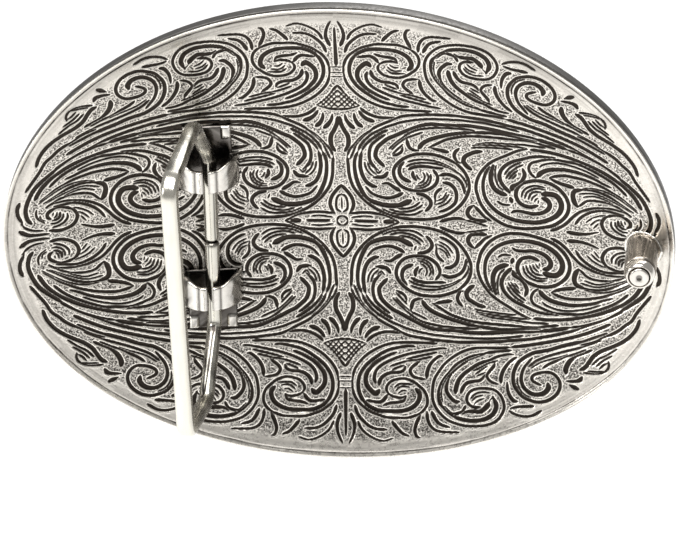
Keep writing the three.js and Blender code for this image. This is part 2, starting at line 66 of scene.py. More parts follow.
# Engraved strokes of one quarter of the back, mirrored to the other three. Each stroke ends with a
# semicolon, and gives its half width at its start and at its end, then the x and z of its points.
STROKES = {
    "stem and margin leaves": """
    .15 .3 0 37.2 0 33 0 29.6; .12 .12 0 29.3 .9 29.3; .12 .12 0 28.2 .9 28.2; .12 .12 0 27.4 .9 27.4;
    .15 .3 .55 38.5 1 37.6 1.35 36.5 1.4 35.2 .85 33.6;
    .2 .12 2 34.9 2.5 36 3.5 37 5 37.8 6.3 38 7.7 37.5;
    .25 .2 1.5 32.3 2 33.7 3 34.9 4 35.7 5.2 36.1 6.7 36.1;
    .3 .2 7.6 34.8 8 35.3 8.7 36.1 9.4 36.7 10.3 37; .3 .2 12.2 33.5 11.6 34.8 11.3 36 11.6 37 12.1 37.2;
    .25 .15 13.3 32.9 13.4 34 13.8 35 14.5 35.7 15.5 36 17 36 18.6 35.9;
    .3 .2 14.1 32.8 14.7 34 15.5 34.8 17 35.2; .2 .2 26.8 31.6 27.8 32.1 29.2 32.3 30.6 32 32.1 31;
    .15 .28 27 31.2 28.2 30.8 29.5 30.6 30.8 30.4; .35 .15 28.1 29.9 27.5 29.8 26.9 29 26.6 28.1 26.5 26.8""",
    "first scroll": """
    .2 .2 15 21.2 11.7 21.2 8.75 21.35 7.05 21.7 5.6 22.3 4.25 23.1 3.15 24 2.2 25.1 1.5 26.3 1.2 27.6
      1.14 29 1.4 30.4 2.06 31.6 2.9 32.4 4 33.2 5.3 33.7 6.8 34.1 8.5 34.1 10.2 34 11.7 33.4 12.7 32.7
      13.3 31.7 13.35 30.5 12.9 29.4 12.2 28.7 11.1 27.9 9.85 27.5 8.6 27.6 7.5 28 6.8 28.8 6.7 29.5 7.05
      30.1 7.8 30.55 9 30.7 9.9 30.3;
    .2 .35 11.4 21.9 10.2 21.9 8.75 22.2 7.3 22.6 6.1 23.2 5.1 23.9 4.1 24.7 3.15 25.7 2.4 27 2.1 28.2 2.1
      29.3 2.3 30.2 2.7 31.1 3.4 31.95 4.4 32.6 5.6 33 7.3 33.05 8.75 33 10 32.7 10.95 32.2 11.7 31.5 12.1
      30.5 12.05 29.75 11.5 29.1;
    .2 .4 8.4 23.05 7.3 23.5 6.1 24.15 4.9 25 4.1 25.9 3.5 26.8 3.3 27.8 3.5 28.8 4.1 29.6 4.9 30.2 5.5
      29.6;
    .25 .15 4.9 28.4 4.7 27.6 4.9 26.6 5.5 25.7 6.4 25 7.7 24.3 8.8 23.8 10.5 23.2 12.4 22.7 15 22.1 16.6
      21.9; .3 .2 5.5 28.7 5.7 27.8 6.3 27.1 7.3 26.6 8.5 26.5 9.5 26.1 9.85 25.4;
    .15 .15 7.7 26 9.6 25.2; .15 .15 7.3 25.5 8.5 25 10 24.5 12 24.1 14.2 23.5;
    .15 .15 10 24.1 12.4 23.4 15 22.7; .2 .3 3.4 31.3 4.4 31.5 5.5 31.6 6.3 31.1 6.8 30.3;
    .2 .25 6.2 32.1 7.2 31.7 8.6 31.5 9.5 31.2 9.9 30.5; .12 .12 8.6 30 9.3 29.5 10 29.5;
    .12 .12 8.2 29.6 8.8 29 9.5 28.8 10.5 28.9; .12 .12 8 29 8.8 28.4 9.6 28.3 11 28.4;
    .2 .25 13.1 27.4 12 27.3 11.1 27 10.6 26.2 10.9 25.5 11.7 24.8 12.2 24.4;
    .3 .2 13.3 27.3 13.4 26.1 13.75 25.1 14.4 24.2 15.3 23.4 15.9 23.3""",
    "second scroll": """
    .2 .2 27.1 20.8 25.2 21.1 23 21.3 21.3 21.5 19.8 22 18.5 22.7 17.2 23.7 16.1 24.8 15.3 26 14.6 27.2
      14.3 28.5 14.2 30 14.4 31.2 15 32.4 15.9 33.4 16.9 34.1 18.1 34.5 19.6 34.75 21 34.7 22.5 34.5 23.9
      34 24.9 33.3 25.6 32.3 26 31.1 25.8 29.9 25.2 28.9 24.2 28.3 22.7 28.2 21.5 28.4 20.5 28.9 19.9 29.8
      19.9 30.6 20.3 31.2 21 31.5 22.1 31.4;
    .2 .35 27.2 21.35 25.2 21.7 23 22.2 21 22.8 19.6 23.5 18.1 24.6 16.9 26 16 27.2 15.4 28.5 15.2 29.75
      15.35 31 15.9 31.95 16.9 32.9 18.1 33.5 19.6 33.8 21 33.8 22.5 33.5 23.6 32.9 24.3 32.2 24.7 31 24.4
      30 24.05 29.4;
    .1 .1 15.9 31 15.7 29.8 15.85 28.5 16.4 27.3 17.2 26.2 18.4 25 19.6 24 21.2 23.2 23 22.4;
    .3 .2 18.6 30.8 17.9 30.8 17.2 30.2 16.75 29.6 16.5 28.8 16.7 27.7 17.2 26.6 18.1 25.5 19.1 24.6 20
      24;
    .35 .15 18 29.4 18.1 28.5 18.5 27.3 19.2 26.3 20.2 25.4 21.3 24.5 22.5 23.8 23.7 23.3 25 22.6 26.6
      22.1 27.6 22; .3 .2 18.9 29.3 19.3 28.3 20 27.5 21 27.2 21.9 27 22.5 26.5 22.8 26;
    .12 .12 21 25.4 22 24.8 23.5 23.9 25 23.3; .12 .12 21.3 25.9 22.5 25 23.3 24.4;
    .12 .12 21.5 26.3 22.9 25.5; .2 .3 16.2 31.7 16.8 32.3 17.5 32.8 18.5 32.7 19.2 32.2 19.6 31.5;
    .25 .4 19.1 32.9 19.8 32.4 20.8 32.25 22 32.2 22.7 31.7 23.3 31 23.5 30.5;
    .12 .12 21.1 31 21.7 30.4 22.7 29.9; .12 .12 20.7 30.5 21.4 29.8 22.5 29.4;
    .12 .12 20.5 30.1 21.1 29.4 22.2 28.9 23.7 28.9; .12 .12 23.6 30.2 24.3 29.4;
    .2 .25 25 27.3 24.1 27.1 23.5 26.7 23.2 26 23.6 25.3 24.2 24.5 24.5 23.9;
    .3 .2 25.5 27 25.5 26.1 25.8 25.1 26.3 24.2 27.1 23.2 28.1 22.4""",
    "third scroll": """
    .3 .22 43 16.3 41.3 17.2 39.3 18.2 37.5 18.9 35.4 19.7 33.6 20.5 32 21 30.8 21.4 29.3 22.4 28.4 23.3
      27.8 24.4 27.5 25.6 27.6 27 28.1 28 29 29 30.1 29.45 31.5 29.65 32.9 29.3 34 28.6 34.8 27.7 35.2
      26.6 35.1 25.6 34.5 24.8 33.6 24.4 32.5 24.5 31.3 24.9 30.6 25.5 30.7 26.1 31.4 26.5 32.1 26.7;
    .15 .4 30.7 22.2 30 23.1 29.3 24.1 28.9 25.2 28.85 26.3 29.2 27.3 29.9 28 30.9 28.4 31.9 28.3 32.8
      27.8 33.3 27 33.2 26.3; .1 .1 28.2 25.8 28.2 26.8 28.7 27.9 29.4 28.6 30.4 29;
    .1 .5 36.7 26.05 37.5 26.4 38.1 26.6; .15 .35 36.2 25.5 37.4 25.4 38.4 25.1 38.8 24.5;
    .4 .2 36.2 24.2 36.2 23.3 36.8 22.1 37.9 21.1 39.2 20.4 40.5 19.6;
    .2 .25 32.4 23.8 33.4 23 34.8 22.2 36.2 21.4 37.8 20.6 39.5 19.7;
    .18 .18 30.1 23.8 31.3 22.7 32.7 21.9 34.5 21.1 36.5 20.3 38.3 19.6 40.3 18.7 42 17.8;
    .1 .1 30.5 24 32 22.9 33.5 22.2 35 21.6 36.5 20.9;
    .2 .15 39.1 23.7 40.6 23.7 42 23.4 43 22.6 43.3 21.7 43.2 21.2; .15 .3 39.8 23.3 41.3 23.2 42.4 23;
    .15 .12 40.5 22.2 41.6 21 43 20.1 44.6 18.8; .15 .12 41.2 22.3 42.3 21.2 43.8 20.1;
    .15 .12 41.7 22.7 42.4 21.9 43 21.5;
    .3 .25 38.5 23.3 39.3 22.8 40 21.8 40.7 20.7 42 19.6 43.8 18.6 45.2 17.7 46.2 16.9 47.1 15.9 47.9 14.6
      48.4 13.1""",
    "fan over the great scrolls": """
    .25 .2 38.7 19 40 18.5 41.25 17.9 42.5 17.1 43.75 16.4 44.9 15.6 45.9 14.6 47 13.6 47.9 12 49 10.4
      50.25 8.6;
    .25 .25 27.1 20.8 28.5 20.5 30 20.15 32 19.6 34 19 36 18.35 38 17.6 40 16.7 42 15.6 43.5 14.7;
    .2 .25 1.1 12 1.57 13.2 2.3 14.3 3.03 15.3 4 16.3 5 17.05 6.1 17.85 7.3 18.5 8.5 19.1 10 19.9 11.2
      20.2 12.9 20.4 15 20.6 18.5 20.7 20 20.6 22 20.45 24 20.25 26 19.9 28 19.5 30 19.15 32 18.6 34 18 36
      17.3 38 16.5 40 15.5 42 14.5 44 13.3 45.5 12.3;
    .2 .15 2.9 13 3.4 14.2 4.2 15.3 5.2 16.3 6.4 17.1 7.6 17.8 8.8 18.3 10 18.8 11.5 19.2 13 19.5 15 19.75
      18.5 19.85 20 19.85 23 19.7 25 19.45 27 19.1 29.2 18.6;
    .15 .15 1.6 11.5 2.2 13 2.7 14.2 3.5 15.3 4.4 16.3 5.3 17;
    .15 .25 3.5 13 4 14 4.8 15 5.8 15.9 6.9 16.7 7.8 17.2;
    .25 .2 6.1 9.5 5.4 10.2 4.9 11 4.7 12 4.75 13 5.1 14.2 5.8 15 6.7 15.8 7.4 16.3;
    .3 .3 7.05 10.3 6.3 11.15 5.75 12 5.8 13 6.2 14 7.05 14.9 8 15.7 9 16.2 10.5 17.05 12 17.85 13.5 18.45
      15 18.75 18.5 18.8 20 18.9 22 18.85 25 18.55 27 18.3 29 18 31 17.75 33 17.3 35 16.8 37 16.2;
    .15 .18 7.9 13.6 9 14.8 10.2 15.9 11.5 16.9 13 17.6 15 18 16.5 18.15 20 18.2 22 18.1;
    .15 .15 8.4 13.5 9.6 14.8 10.8 15.8 12 16.4 13.5 17.1; .15 .15 8.4 12.6 9.5 13.8 10.2 14.6;
    .35 .2 12.7 13.8 13.3 14.8 14.3 15.6 15.6 16.2 17 16.7 18 17 20 17.45 22 17.7 24 17.85 26 17.8 28 17.6
      30 17.35 32 17.1;
    .2 .2 14.3 14.2 15.5 14.9 17 15.8 18 16.2 20 16.75 22 17 24 17.05 26 17.05 28 17 30 16.95 32 16.75 34
      16.3 35 16.1; .15 .15 22 15.55 24 15.95 26 16.05 28 16.1 30 16.2 32 16.1 33.4 16;
    .15 .15 21.5 15.2 23 15.4 25 15.55 27 15.6 29 15.65 30.3 15.6;
    .15 .15 21.3 14.7 23 14.95 26 15.1 28 15.1; .3 .2 10.9 15.6 11 14.8 11.3 14 12 13.6 12.8 13.5;
    .25 .15 8.5 12.3 9.4 12.7 10 13.3 10.2 14.2; .2 .35 14.7 14.2 16 13.9 17.5 13.6;
    .25 .25 19.3 14.4 18.7 13.7 18.5 12.9 18.9 12 19.4 11.7;
    .3 .35 23 14.2 22 14 21 13.5 20.2 12.9 20 12 20.5 11.2 21.2 10.6""",
    "great scroll": """
    .22 .25 1.1 12 1.25 10.3 1.3 9 1.5 7.7 1.9 6.4 2.6 5.2 3.5 4 4.6 3 5.8 2.2 7.2 1.5 8.8 .95 10.5 .7
      12.3 .68 14.2 .85 15.9 1.3 17.5 2.1 18.8 3.2 19.8 4.5 20.5 5.9 20.85 7.3 20.7 8.6 20.1 10 19.2 11.1
      18.1 11.9 16.8 12.5 15.4 12.9 13.9 13 12.4 12.85 11.1 12.4 10 11.7 9.2 10.9 8.7 10 8.55 9.1 8.75 8.1
      9.2 7.3 9.9 6.6 11 6.1 12.3 5.95 13.6 6.1 14.7 6.7 15.4 7.5 15.7 8.5 15.5 9.3 15 10;
    .15 .15 10.9 11.3 12 11.7 13.5 11.9 15 11.8 16.5 11.4 17.8 10.8 18.9 10 19.7 9.1 20.3 8 20.4 7.2;
    .15 .15 10.6 10.4 11.5 10.9 12.7 11.2 14 11.3 15.5 11.2 16.9 10.8 18 10.3 19 9.6;
    .25 .2 11 9.9 12 10.4 13.5 10.6 15 10.5 16.6 10.4;
    .2 .35 10.3 11.2 9.7 10.4 9.5 9.5 9.7 8.6 10.3 8 11.2 7.6; .3 .2 11.7 9.5 11.7 8.7 12.2 7.9;
    .12 .12 12.3 9 12.5 8.4 12.9 8.1; .12 .12 13.3 9.5 13.6 8.7 13.3 7.8 12.5 7.3;
    .12 .12 13.9 9.5 14.2 8.6 13.8 7.6 13 7 12 6.8; .12 .12 14.6 9.2 14.6 8.3 14.2 7.3 13.2 6.6 11.9 6.4;
    .3 .2 16.1 9.1 17.2 9.4 18.5 9 19.4 8.2 19.9 7 20 6;
    .3 .2 16.6 7.8 17.6 7.6 18.4 6.8 18.7 5.6 18.5 4.3 17.8 3.4 16.8 2.7 15.8 2.3;
    .12 .12 15.5 4.3 16.5 4.9 17.1 6; .12 .12 15.3 3.6 16.6 4.3 17.5 5.7;
    .12 .12 15.6 3.1 17 3.9 17.9 5.1; .25 .12 16.3 6.7 15.6 6.1 15.2 5.3 15.2 4.3 15.1 3.6;
    .3 .25 12.2 5.4 13.4 5.2 14.2 4.6 14.5 3.8 14.2 3 13.6 2.3;
    .15 .15 9.2 2.45 10.6 2.6 11.8 3.1 12.7 3.9; .15 .15 7.7 2.3 9.5 1.9 11.3 2.2 12.4 2.8 13.1 3.4;
    .15 .15 6.5 2.4 8 1.7 10 1.4 11.8 1.6 13.1 2.4;
    .2 .45 2.9 13 2.35 11.5 2.25 10 2.4 8.4 2.7 7.1 3.2 5.8 3.8 4.7 4.6 3.9 6 3.3 7.6 3 9.2 3.1 10.3 3.6
      11.2 4.1; .15 .15 11.6 4.9 11.9 4.2; .25 .3 3.5 13 3.25 11.5 3.2 10 3.5 8.5 4.1 7.3 5 6.6 5.7 6.4;
    .15 .3 3.9 6.4 4.9 5.2 6.2 4.6 7.6 4.4 8.9 4.8 9.9 5.4; .15 .35 6.6 7 7.6 7.1 8.6 6.4 9.5 5.8;
    .12 .12 3.9 11 4.1 9.8 4.7 8.8 5.4 8.3; .12 .12 4.4 10.9 4.8 9.7 5.7 8.7;
    .12 .12 5.5 9.6 6.1 9 6.7 9.6; .3 .3 5.2 8.1 6.1 8.2 7 8.4 7.6 9.2""",
    "middle scroll": """
    .2 .3 30.5 15.45 28.8 14.9 27 13.85 25.5 13 24.1 12 23.1 10.75 22.4 9.5 22 8.25 21.9 7 22.1 6 22.5 4.6
      23.4 3.1 24.5 2 26 1.05 27.5 .6 29.4 .5 31.3 .75 33 1.15 34.5 1.75 35.8 2.8 36.7 4.1 37 5.5 36.7 6.9
      36 8 35 8.9 33.6 9.5 32 9.65 30.5 9.3 29.4 8.6 28.6 7.6 28.4 6.5 28.8 5.4 29.6 4.8 30.7 4.6 31.9 5;
    .2 .45 24.2 11.4 23.5 10 23.1 8.4 23.1 6.8 23.4 5.5 24.1 4.3 25.2 3.2 26.6 2.4 28.2 1.9 30 1.75 31.8
      1.9 33.3 2.4 34.6 3.2 35.5 4.3 35.8 5.5 35.5 6.6 34.8 7.3 33.6 7.4 32.7 7.2;
    .4 .2 32.7 6.5 33.5 6.2 33.9 5.3 33.5 4.4 32.5 3.7 31 3.4 29.5 3.6 28.3 3.6 27.6 3.2;
    .14 .14 29.3 6.3 29.6 7.4 30.5 8.3 31.8 8.7 33.2 8.5;
    .14 .14 29.8 6.1 30.2 7.2 31 7.9 32 8.2 33.3 8.1; .14 .14 30.4 6 30.8 7 31.5 7.5 32.5 7.6;
    .12 .12 30.9 5.8 31.2 6.5 31.9 7.1; .12 .12 31.4 5.7 31.7 6.2 32 6.4; .12 .12 32 5.5 32.1 6;
    .3 .2 27.4 6.9 26.3 8.2 25.8 9.5 26 10.8 26.8 11.9 28 12.8 29.5 13.4 31 14 32.5 14.3 35 14.4;
    .25 .4 29.6 11.6 29.9 10.5 29.5 9.5 28.7 8.7 27.9 8.1 27.7 7.4;
    .14 .14 26.6 10.2 27.3 11.3 28.3 12.2 29.4 12.8; .14 .14 26.8 9.5 27.5 10.6 28.5 11.6 29.7 12.4;
    .14 .14 27.3 9.4 28 10.4 28.8 11.2; .12 .12 27.9 9.5 28.6 10.4;
    .3 .4 24.8 11.8 24.4 10 24.4 8.6 24.9 7.4 25.8 6.7 26.8 6.4;
    .12 .12 25.3 11.8 25.1 10.5 25.2 9 25.6 7.9 26.3 7.2; .2 .15 25.3 5.1 26.2 4.6 27.4 4.6;
    .4 .4 27.5 5.9 27.7 5.2;
    .2 .2 31.7 10.1 30.9 10.9 30.6 11.9 31 12.8 32 13.3 33.5 13.8 35.2 14 37 13.9 38.5 13.7 40 13.2 42
      12.3 44 11.2 45.3 10.2 46.5 9;
    .25 .3 31 15.4 33 15.35 35 15.15 37 14.75 39 14.2 41 13.5 43 12.6 45 11.4 46.5 10.2 47.8 8.8 48.9 6.9;
    .15 .12 32.4 12.3 33 12.8 34.5 13.3 36.2 13.4 38 13.1 40 12.5 42 11.6;
    .4 .15 32 10.4 32.6 11.2 33.8 11.9 35.2 12.2 37 12.3 39 12 41 11.4 42.5 10.7 44 10.1;
    .25 .15 33.9 10.5 35 10.9 36.5 11.2 38 11.1 39.5 10.9 41 10.5 42.5 10 44 9.3 45.5 8.5 47 7.4 48.2 6.5;
    .2 .35 33.9 10.4 35 9.9 36.3 9.5 37.8 9.2;
    .15 .12 39.3 9.3 41 9.5 42.5 9.3 44 8.8 45.5 8 47 7 48.3 6.1;
    .4 .12 38.4 5.6 37.9 6.6 37.7 7.7 38 8.5 39 8.9 40.5 9.05 42 8.9 43.5 8.4 45 7.6 46.5 6.7 47.6 6;
    .12 .12 38.7 8.1 40 8.4 41.2 8.5 42.5 8.2 44 7.6 45.5 6.9 47 6.1;
    .12 .12 39.4 7.6 40.5 7.9 41.5 8 43 7.6 44.2 7.1;
    .2 .15 38.5 5.6 39.1 6.2 39.9 6.9 41 7.2 42.5 7.2 44 6.9 45.2 6.5 46.5 5.8 47.3 5.3;
    .25 .15 34 .7 35.3 1.3 36.5 2.3 37.5 3.5 38.6 4.6 40 5.4 41.5 5.9 43.5 6.15 45 6 46.3 5.7 47.2 5.1;
    .2 .25 38 2.4 38.8 3.6 40 4.6 41.5 5.3 43 5.6 44.5 5.5 46 5.3; .12 .12 39.8 3 40.8 3.9 42 4.5 43 4.8;
    .12 .12 40.5 2.6 41.3 3.4 42.1 3.9; .12 .12 41 2.1 41.8 3.1""",
    "end scroll": """
    .25 .25 46.8 1 45.3 .8 44 1.1 43 1.7 42.45 2.6 42.4 3.5 42.9 4.3 43.9 4.85 45.2 5 46.3 4.7 47 4.1 47
      3.4 46.5 3; .15 .15 43.9 3.8 43.9 3 44.5 2.2 45.4 1.7 46.3 1.5;
    .13 .13 44.5 3.8 44.6 3.2 45 2.6 45.8 2.2 46.6 2.2; .2 .15 45 4.1 45.1 3.4 45.6 2.9 46.3 2.7;
    .13 .13 45.5 4.2 45.6 3.6 46 3.2; .15 .15 46.1 4.1 46.2 3.7; .15 .15 48.7 5 48.8 4 48.4 3.1 47.5 2.4;
    .12 .12 48.2 3.9 48 3.2 47.4 2.8; .35 .12 36.7 .8 38.5 .7 40 .9 41.8 1.5;
    .3 .3 37 16.2 39 15.6 41 14.8 43 13.8 45.2 12.2 47.3 10.5 48.8 9 49.8 7.2 50.4 5.2 50.2 3.5 49.6 2.6;
    .3 .2 51.3 6.6 51.7 5.5 51.6 4.2 51.1 3.1 50.9 2.4; .15 .35 46.9 .4 48.5 .4 50.2 .6 51.5 1.4;
    .12 .2 47.8 1.1 49.3 1.3 50.5 1.9 51.3 2.8""",
    "bud between the scrolls": """
    .3 .3 21.5 4 20.7 3.3 20.4 2.4 20.9 1.6 22 1.3 23.4 1.2; .3 .15 21.5 3.9 22.3 3 23.2 2 24.3 1.3;
    .15 .15 20 1.1 22 .7 23.6 .3; .25 .25 15.9 .5 17.5 1.1 19 1.35 20.2 1.1""",
    "basket and leaves under the stem": """
    .3 .35 .15 19.5 .3 18.3 .8 17 1.3 16 1.45 15 1.3 14 .8 13; .15 .4 1 20 1.2 19 1.8 18 2.4 17.4;
    .15 .4 2.5 20.3 2.6 19.3 3 18.4 3.7 17.7; .2 .4 3.3 20.7 3.8 19.9 4.6 19.2 5.6 18.8;
    .25 .2 3.6 21.3 4.3 20.6 5.3 20 6.6 19.6 8 19.6 9 19.8;
    .22 .22 0 21 1 21.05 2 21.25 2.8 21.5 3.5 21.8;
    .2 .2 0 25.7 .6 24.9 1.3 23.9 2.1 22.9 3 22.1 3.5 21.8; .17 .17 0 24.7 .9 23.6 1.9 22.4 2.7 21.6;
    .17 .17 0 23.7 .9 22.6 1.9 21.5; .17 .17 0 22.7 1.1 21.4; .17 .17 0 21.4 1 22.4 2 23.5;
    .17 .17 0 22.3 .8 23.2 1.5 24; .17 .17 0 23.3 1.1 24.5; .17 .17 1 21.4 2.4 23; .17 .17 2 21.5 2.9 22.5""",
    "four-petalled flower": """
    .15 .15 .85 0 .78 .35 .6 .6 .35 .78 0 .85; .25 .25 1.1 1.2 1.7 2.2 1.9 3.2 1.6 4.4 .9 5.5 0 6.6;
    .15 .15 .2 1.6 .85 2.2 .9 3.5 .6 4.5 0 4.9; .1 .1 0 2.2 0 4.2;
    .2 .2 1.3 1.3 2.5 1.5 4 1.6 5.5 1.45 7 1.1 8.3 .5 9.2 0; .12 .12 1.5 .6 3.5 .9 5 .8;
    .12 .12 2 .12 5.8 .12; .3 .3 6.8 .1 8.4 .1""",
}

CELL = 0.06  # pitch of the raster that the engraving is drawn on
FIELD_X, FIELD_Z = 56.0, 42.0  # reach of that raster over one quarter
FAR = 2.0  # given as the distance wherever no stroke is near
REACH = 0.6  # how far from a stroke the distance is worked out
RIDGE = 0.24  # metal to leave between two strokes, unless that makes them too narrow
CROWDED = 1.1  # strokes closer than this give way to each other


def curve(points, step=0.1):
    """A smooth line through the points."""
    p = np.array(points, float)
    q = np.vstack([2 * p[0] - p[1], p, 2 * p[-1] - p[-2]])
    out = []
    for i in range(len(p) - 1):
        a, b, c, d = q[i:i + 4]
        n = max(2, int(np.linalg.norm(c - b) / step))
        t = np.linspace(0, 1, n, endpoint=False)[:, None]
        out.append(0.5 * (2 * b + (c - a) * t + (2 * a - 5 * b + 4 * c - d) * t * t
                          + (3 * b - a - 3 * c + d) * t ** 3))
    out.append(p[-1:])
    return np.vstack(out)


def cut_lines():
    """The centre line of every stroke, and its half width along it, tapered at both ends."""
    tip, tip_share = 0.5, 0.45
    lines, halves = [], []
    for row in ";".join(STROKES.values()).split(";"):
        start, end, *flat = map(float, row.split())
        line = curve(np.array(flat).reshape(-1, 2))
        run = np.concatenate([[0], np.cumsum(np.hypot(*np.diff(line, axis=0).T))])
        half = start + (end - start) * run / run[-1]
        to_tip = np.minimum(run, run[-1] - run)
        lines.append(line)
        halves.append(half * (tip_share + (1 - tip_share) * np.clip(to_tip / tip, 0, 1)))
    return lines, halves


def spaced(lines, halves):
    """The strokes made narrower where they crowd, to leave a ridge between them."""
    every, narrowest, smooth = 3, 0.4, 7
    owners = [(k, i) for k, line in enumerate(lines) for i in range(0, len(line), every)]
    tree = KDTree(len(owners))
    for n, (k, i) in enumerate(owners):
        tree.insert((*lines[k][i], 0), n)
    tree.balance()
    out = []
    for k, (line, half) in enumerate(zip(lines, halves)):
        share = np.ones(len(line))
        for i, (x, z) in enumerate(line):
            for _, n, gap in tree.find_range((x, z, 0), CROWDED):
                other, at = owners[n]
                if other != k:
                    share[i] = min(share[i], (gap - RIDGE) / (half[i] + halves[other][at]))
        padded = np.pad(np.clip(share, narrowest, 1), smooth // 2, "edge")
        out.append((line, half * np.convolve(padded, np.ones(smooth) / smooth, "valid")))
    return out


def engraving():
    """Distance from the edge of the nearest stroke, negative inside it, over one quarter."""
    nx, nz = int(FIELD_X / CELL) + 1, int(FIELD_Z / CELL) + 1
    field = np.full((nz, nx), FAR)
    xs, zs = np.arange(nx) * CELL, np.arange(nz) * CELL
    for line, half in spaced(*cut_lines()):
        for (x, z), h in zip(line, half):
            reach = h + REACH
            i0, i1 = max(int((x - reach) / CELL), 0), min(int((x + reach) / CELL) + 2, nx)
            j0, j1 = max(int((z - reach) / CELL), 0), min(int((z + reach) / CELL) + 2, nz)
            if i0 >= i1 or j0 >= j1:
                continue
            away = np.hypot(xs[None, i0:i1] - x, zs[j0:j1, None] - z) - h
            field[j0:j1, i0:i1] = np.minimum(field[j0:j1, i0:i1], away)
    return field


def sample(field, x, z):
    """The field at (x, z), the same in all four quarters."""
    fx = np.clip(np.abs(x) / CELL, 0, field.shape[1] - 1.001)
    fz = np.clip(np.abs(z) / CELL, 0, field.shape[0] - 1.001)
    i, j = fx.astype(int), fz.astype(int)
    u, v = fx - i, fz - j
    return ((field[j, i] * (1 - u) + field[j, i + 1] * u) * (1 - v)
            + (field[j + 1, i] * (1 - u) + field[j + 1, i + 1] * u) * v)


def ramp(value, low, high):
    """A smooth step from 0 at low to 1 at high."""
    t = np.clip((value - low) / (high - low), 0, 1)
    return t * t * (3 - 2 * t)


def bell(value, centre, width):
    """1 at the centre, and fading to nothing a few widths from it."""
    return np.exp(-((value - centre) / width) ** 2)


def wavy(t, seed, octaves=3):
    """A smooth seeded wander of roughly -1..1 along t."""
    r = np.random.default_rng(seed)
    total = 0
    for k in range(octaves):
        total = total + np.sin(t * (2 ** k) * r.uniform(0.8, 1.2) + r.uniform(0, 6.28)) / (1.6 ** k)
    return total / 1.6


def around(count):
    """Evenly spaced angles of one full turn."""
    return np.arange(count) * TAU / count


def oval_polar(x, z, half_x=HALF_X, half_z=HALF_Z):
    """The share of the way out to the oval's edge, and the angle round it."""
    return np.hypot(x / half_x, z / half_z), np.arctan2(z / half_z, x / half_x)


# ---- materials ---------------------------------------------------------------------------------
def metal(name, bright, shade, dark, rough, mottle, grain=0.12, streak=(1, 1, 1), engraved=False):
    """Old worked metal: `tone` on the mesh takes it from bright to dark, and carries painted shade as well as
    the metal's own marks.

    An engraved one is also dark in its strokes, by `away`, and finely punched where `matted` says so.
    """
    broad_scale, fine_scale, punch_scale = 160, 1900, 3900  # per metre
    stroke_edge = (0.12, 0.04)  # distances from a stroke, in mm, where its dark starts and is full
    punch_edge = (0.17, 0.26)
    bump_depth = 0.1 * MM
    mat = bpy.data.materials.new(name)
    mat.use_nodes = True
    tree = mat.node_tree
    bsdf = tree.nodes["Principled BSDF"]
    bsdf.inputs["Metallic"].default_value = 1.0
    link = tree.links.new
    coords = tree.nodes.new("ShaderNodeTexCoord")
    mapping = tree.nodes.new("ShaderNodeMapping")
    mapping.inputs["Scale"].default_value = streak
    link(coords.outputs["Object"], mapping.inputs["Vector"])

    def noise(scale, detail):
        node = tree.nodes.new("ShaderNodeTexNoise")
        node.inputs["Scale"].default_value = scale
        node.inputs["Detail"].default_value = detail
        link(mapping.outputs["Vector"], node.inputs["Vector"])
        return node.outputs["Fac"]

    def spread(value, low, high, to_low=0.0, to_high=1.0):
        node = tree.nodes.new("ShaderNodeMapRange")
        numbers = {"From Min": low, "From Max": high, "To Min": to_low, "To Max": to_high}
        for socket, number in numbers.items():
            node.inputs[socket].default_value = number
        link(value, node.inputs["Value"])
        return node.outputs["Result"]

    def mix(factor, a, b):
        node = tree.nodes.new("ShaderNodeMix")
        node.data_type = "RGBA"
        link(factor, node.inputs["Factor"])
        for socket, colour in ((node.inputs[6], a), (node.inputs[7], b)):
            if isinstance(colour, tuple):
                socket.default_value = (*colour, 1)
            else:
                link(colour, socket)
        return node.outputs[2]

    def attribute(label):
        node = tree.nodes.new("ShaderNodeAttribute")
        node.attribute_name = label
        return node.outputs["Fac"]

    def combine(operation, a, b):
        node = tree.nodes.new("ShaderNodeMath")
        node.operation = operation
        link(a, node.inputs[0])
        link(b, node.inputs[1])
        return node.outputs["Value"]

    broad, fine = noise(broad_scale, 4), noise(fine_scale, 3)
    tone = attribute("tone")
    if engraved:
        away = attribute("away")
        punched = combine("MULTIPLY", spread(away, *punch_edge), attribute("matted"))
        punched = combine("MULTIPLY", punched, spread(noise(punch_scale, 1), 0.36, 0.6, 0.16, 0.96))
        tone = combine("MAXIMUM", tone, combine("MAXIMUM", spread(away, *stroke_edge), punched))
    body = mix(spread(broad, 0.42, 0.68, 0.0, mottle), bright, shade)
    body = mix(spread(fine, 0.45, 0.75, 0.0, mottle * 0.8), body, shade)
    link(mix(tone, body, dark), bsdf.inputs["Base Color"])
    link(spread(fine, 0.3, 0.7, rough * 0.75, rough * 1.3), bsdf.inputs["Roughness"])
    bump = tree.nodes.new("ShaderNodeBump")
    bump.inputs["Strength"].default_value = grain
    bump.inputs["Distance"].default_value = bump_depth
    link(fine, bump.inputs["Height"])
    link(bump.outputs["Normal"], bsdf.inputs["Normal"])
    return mat


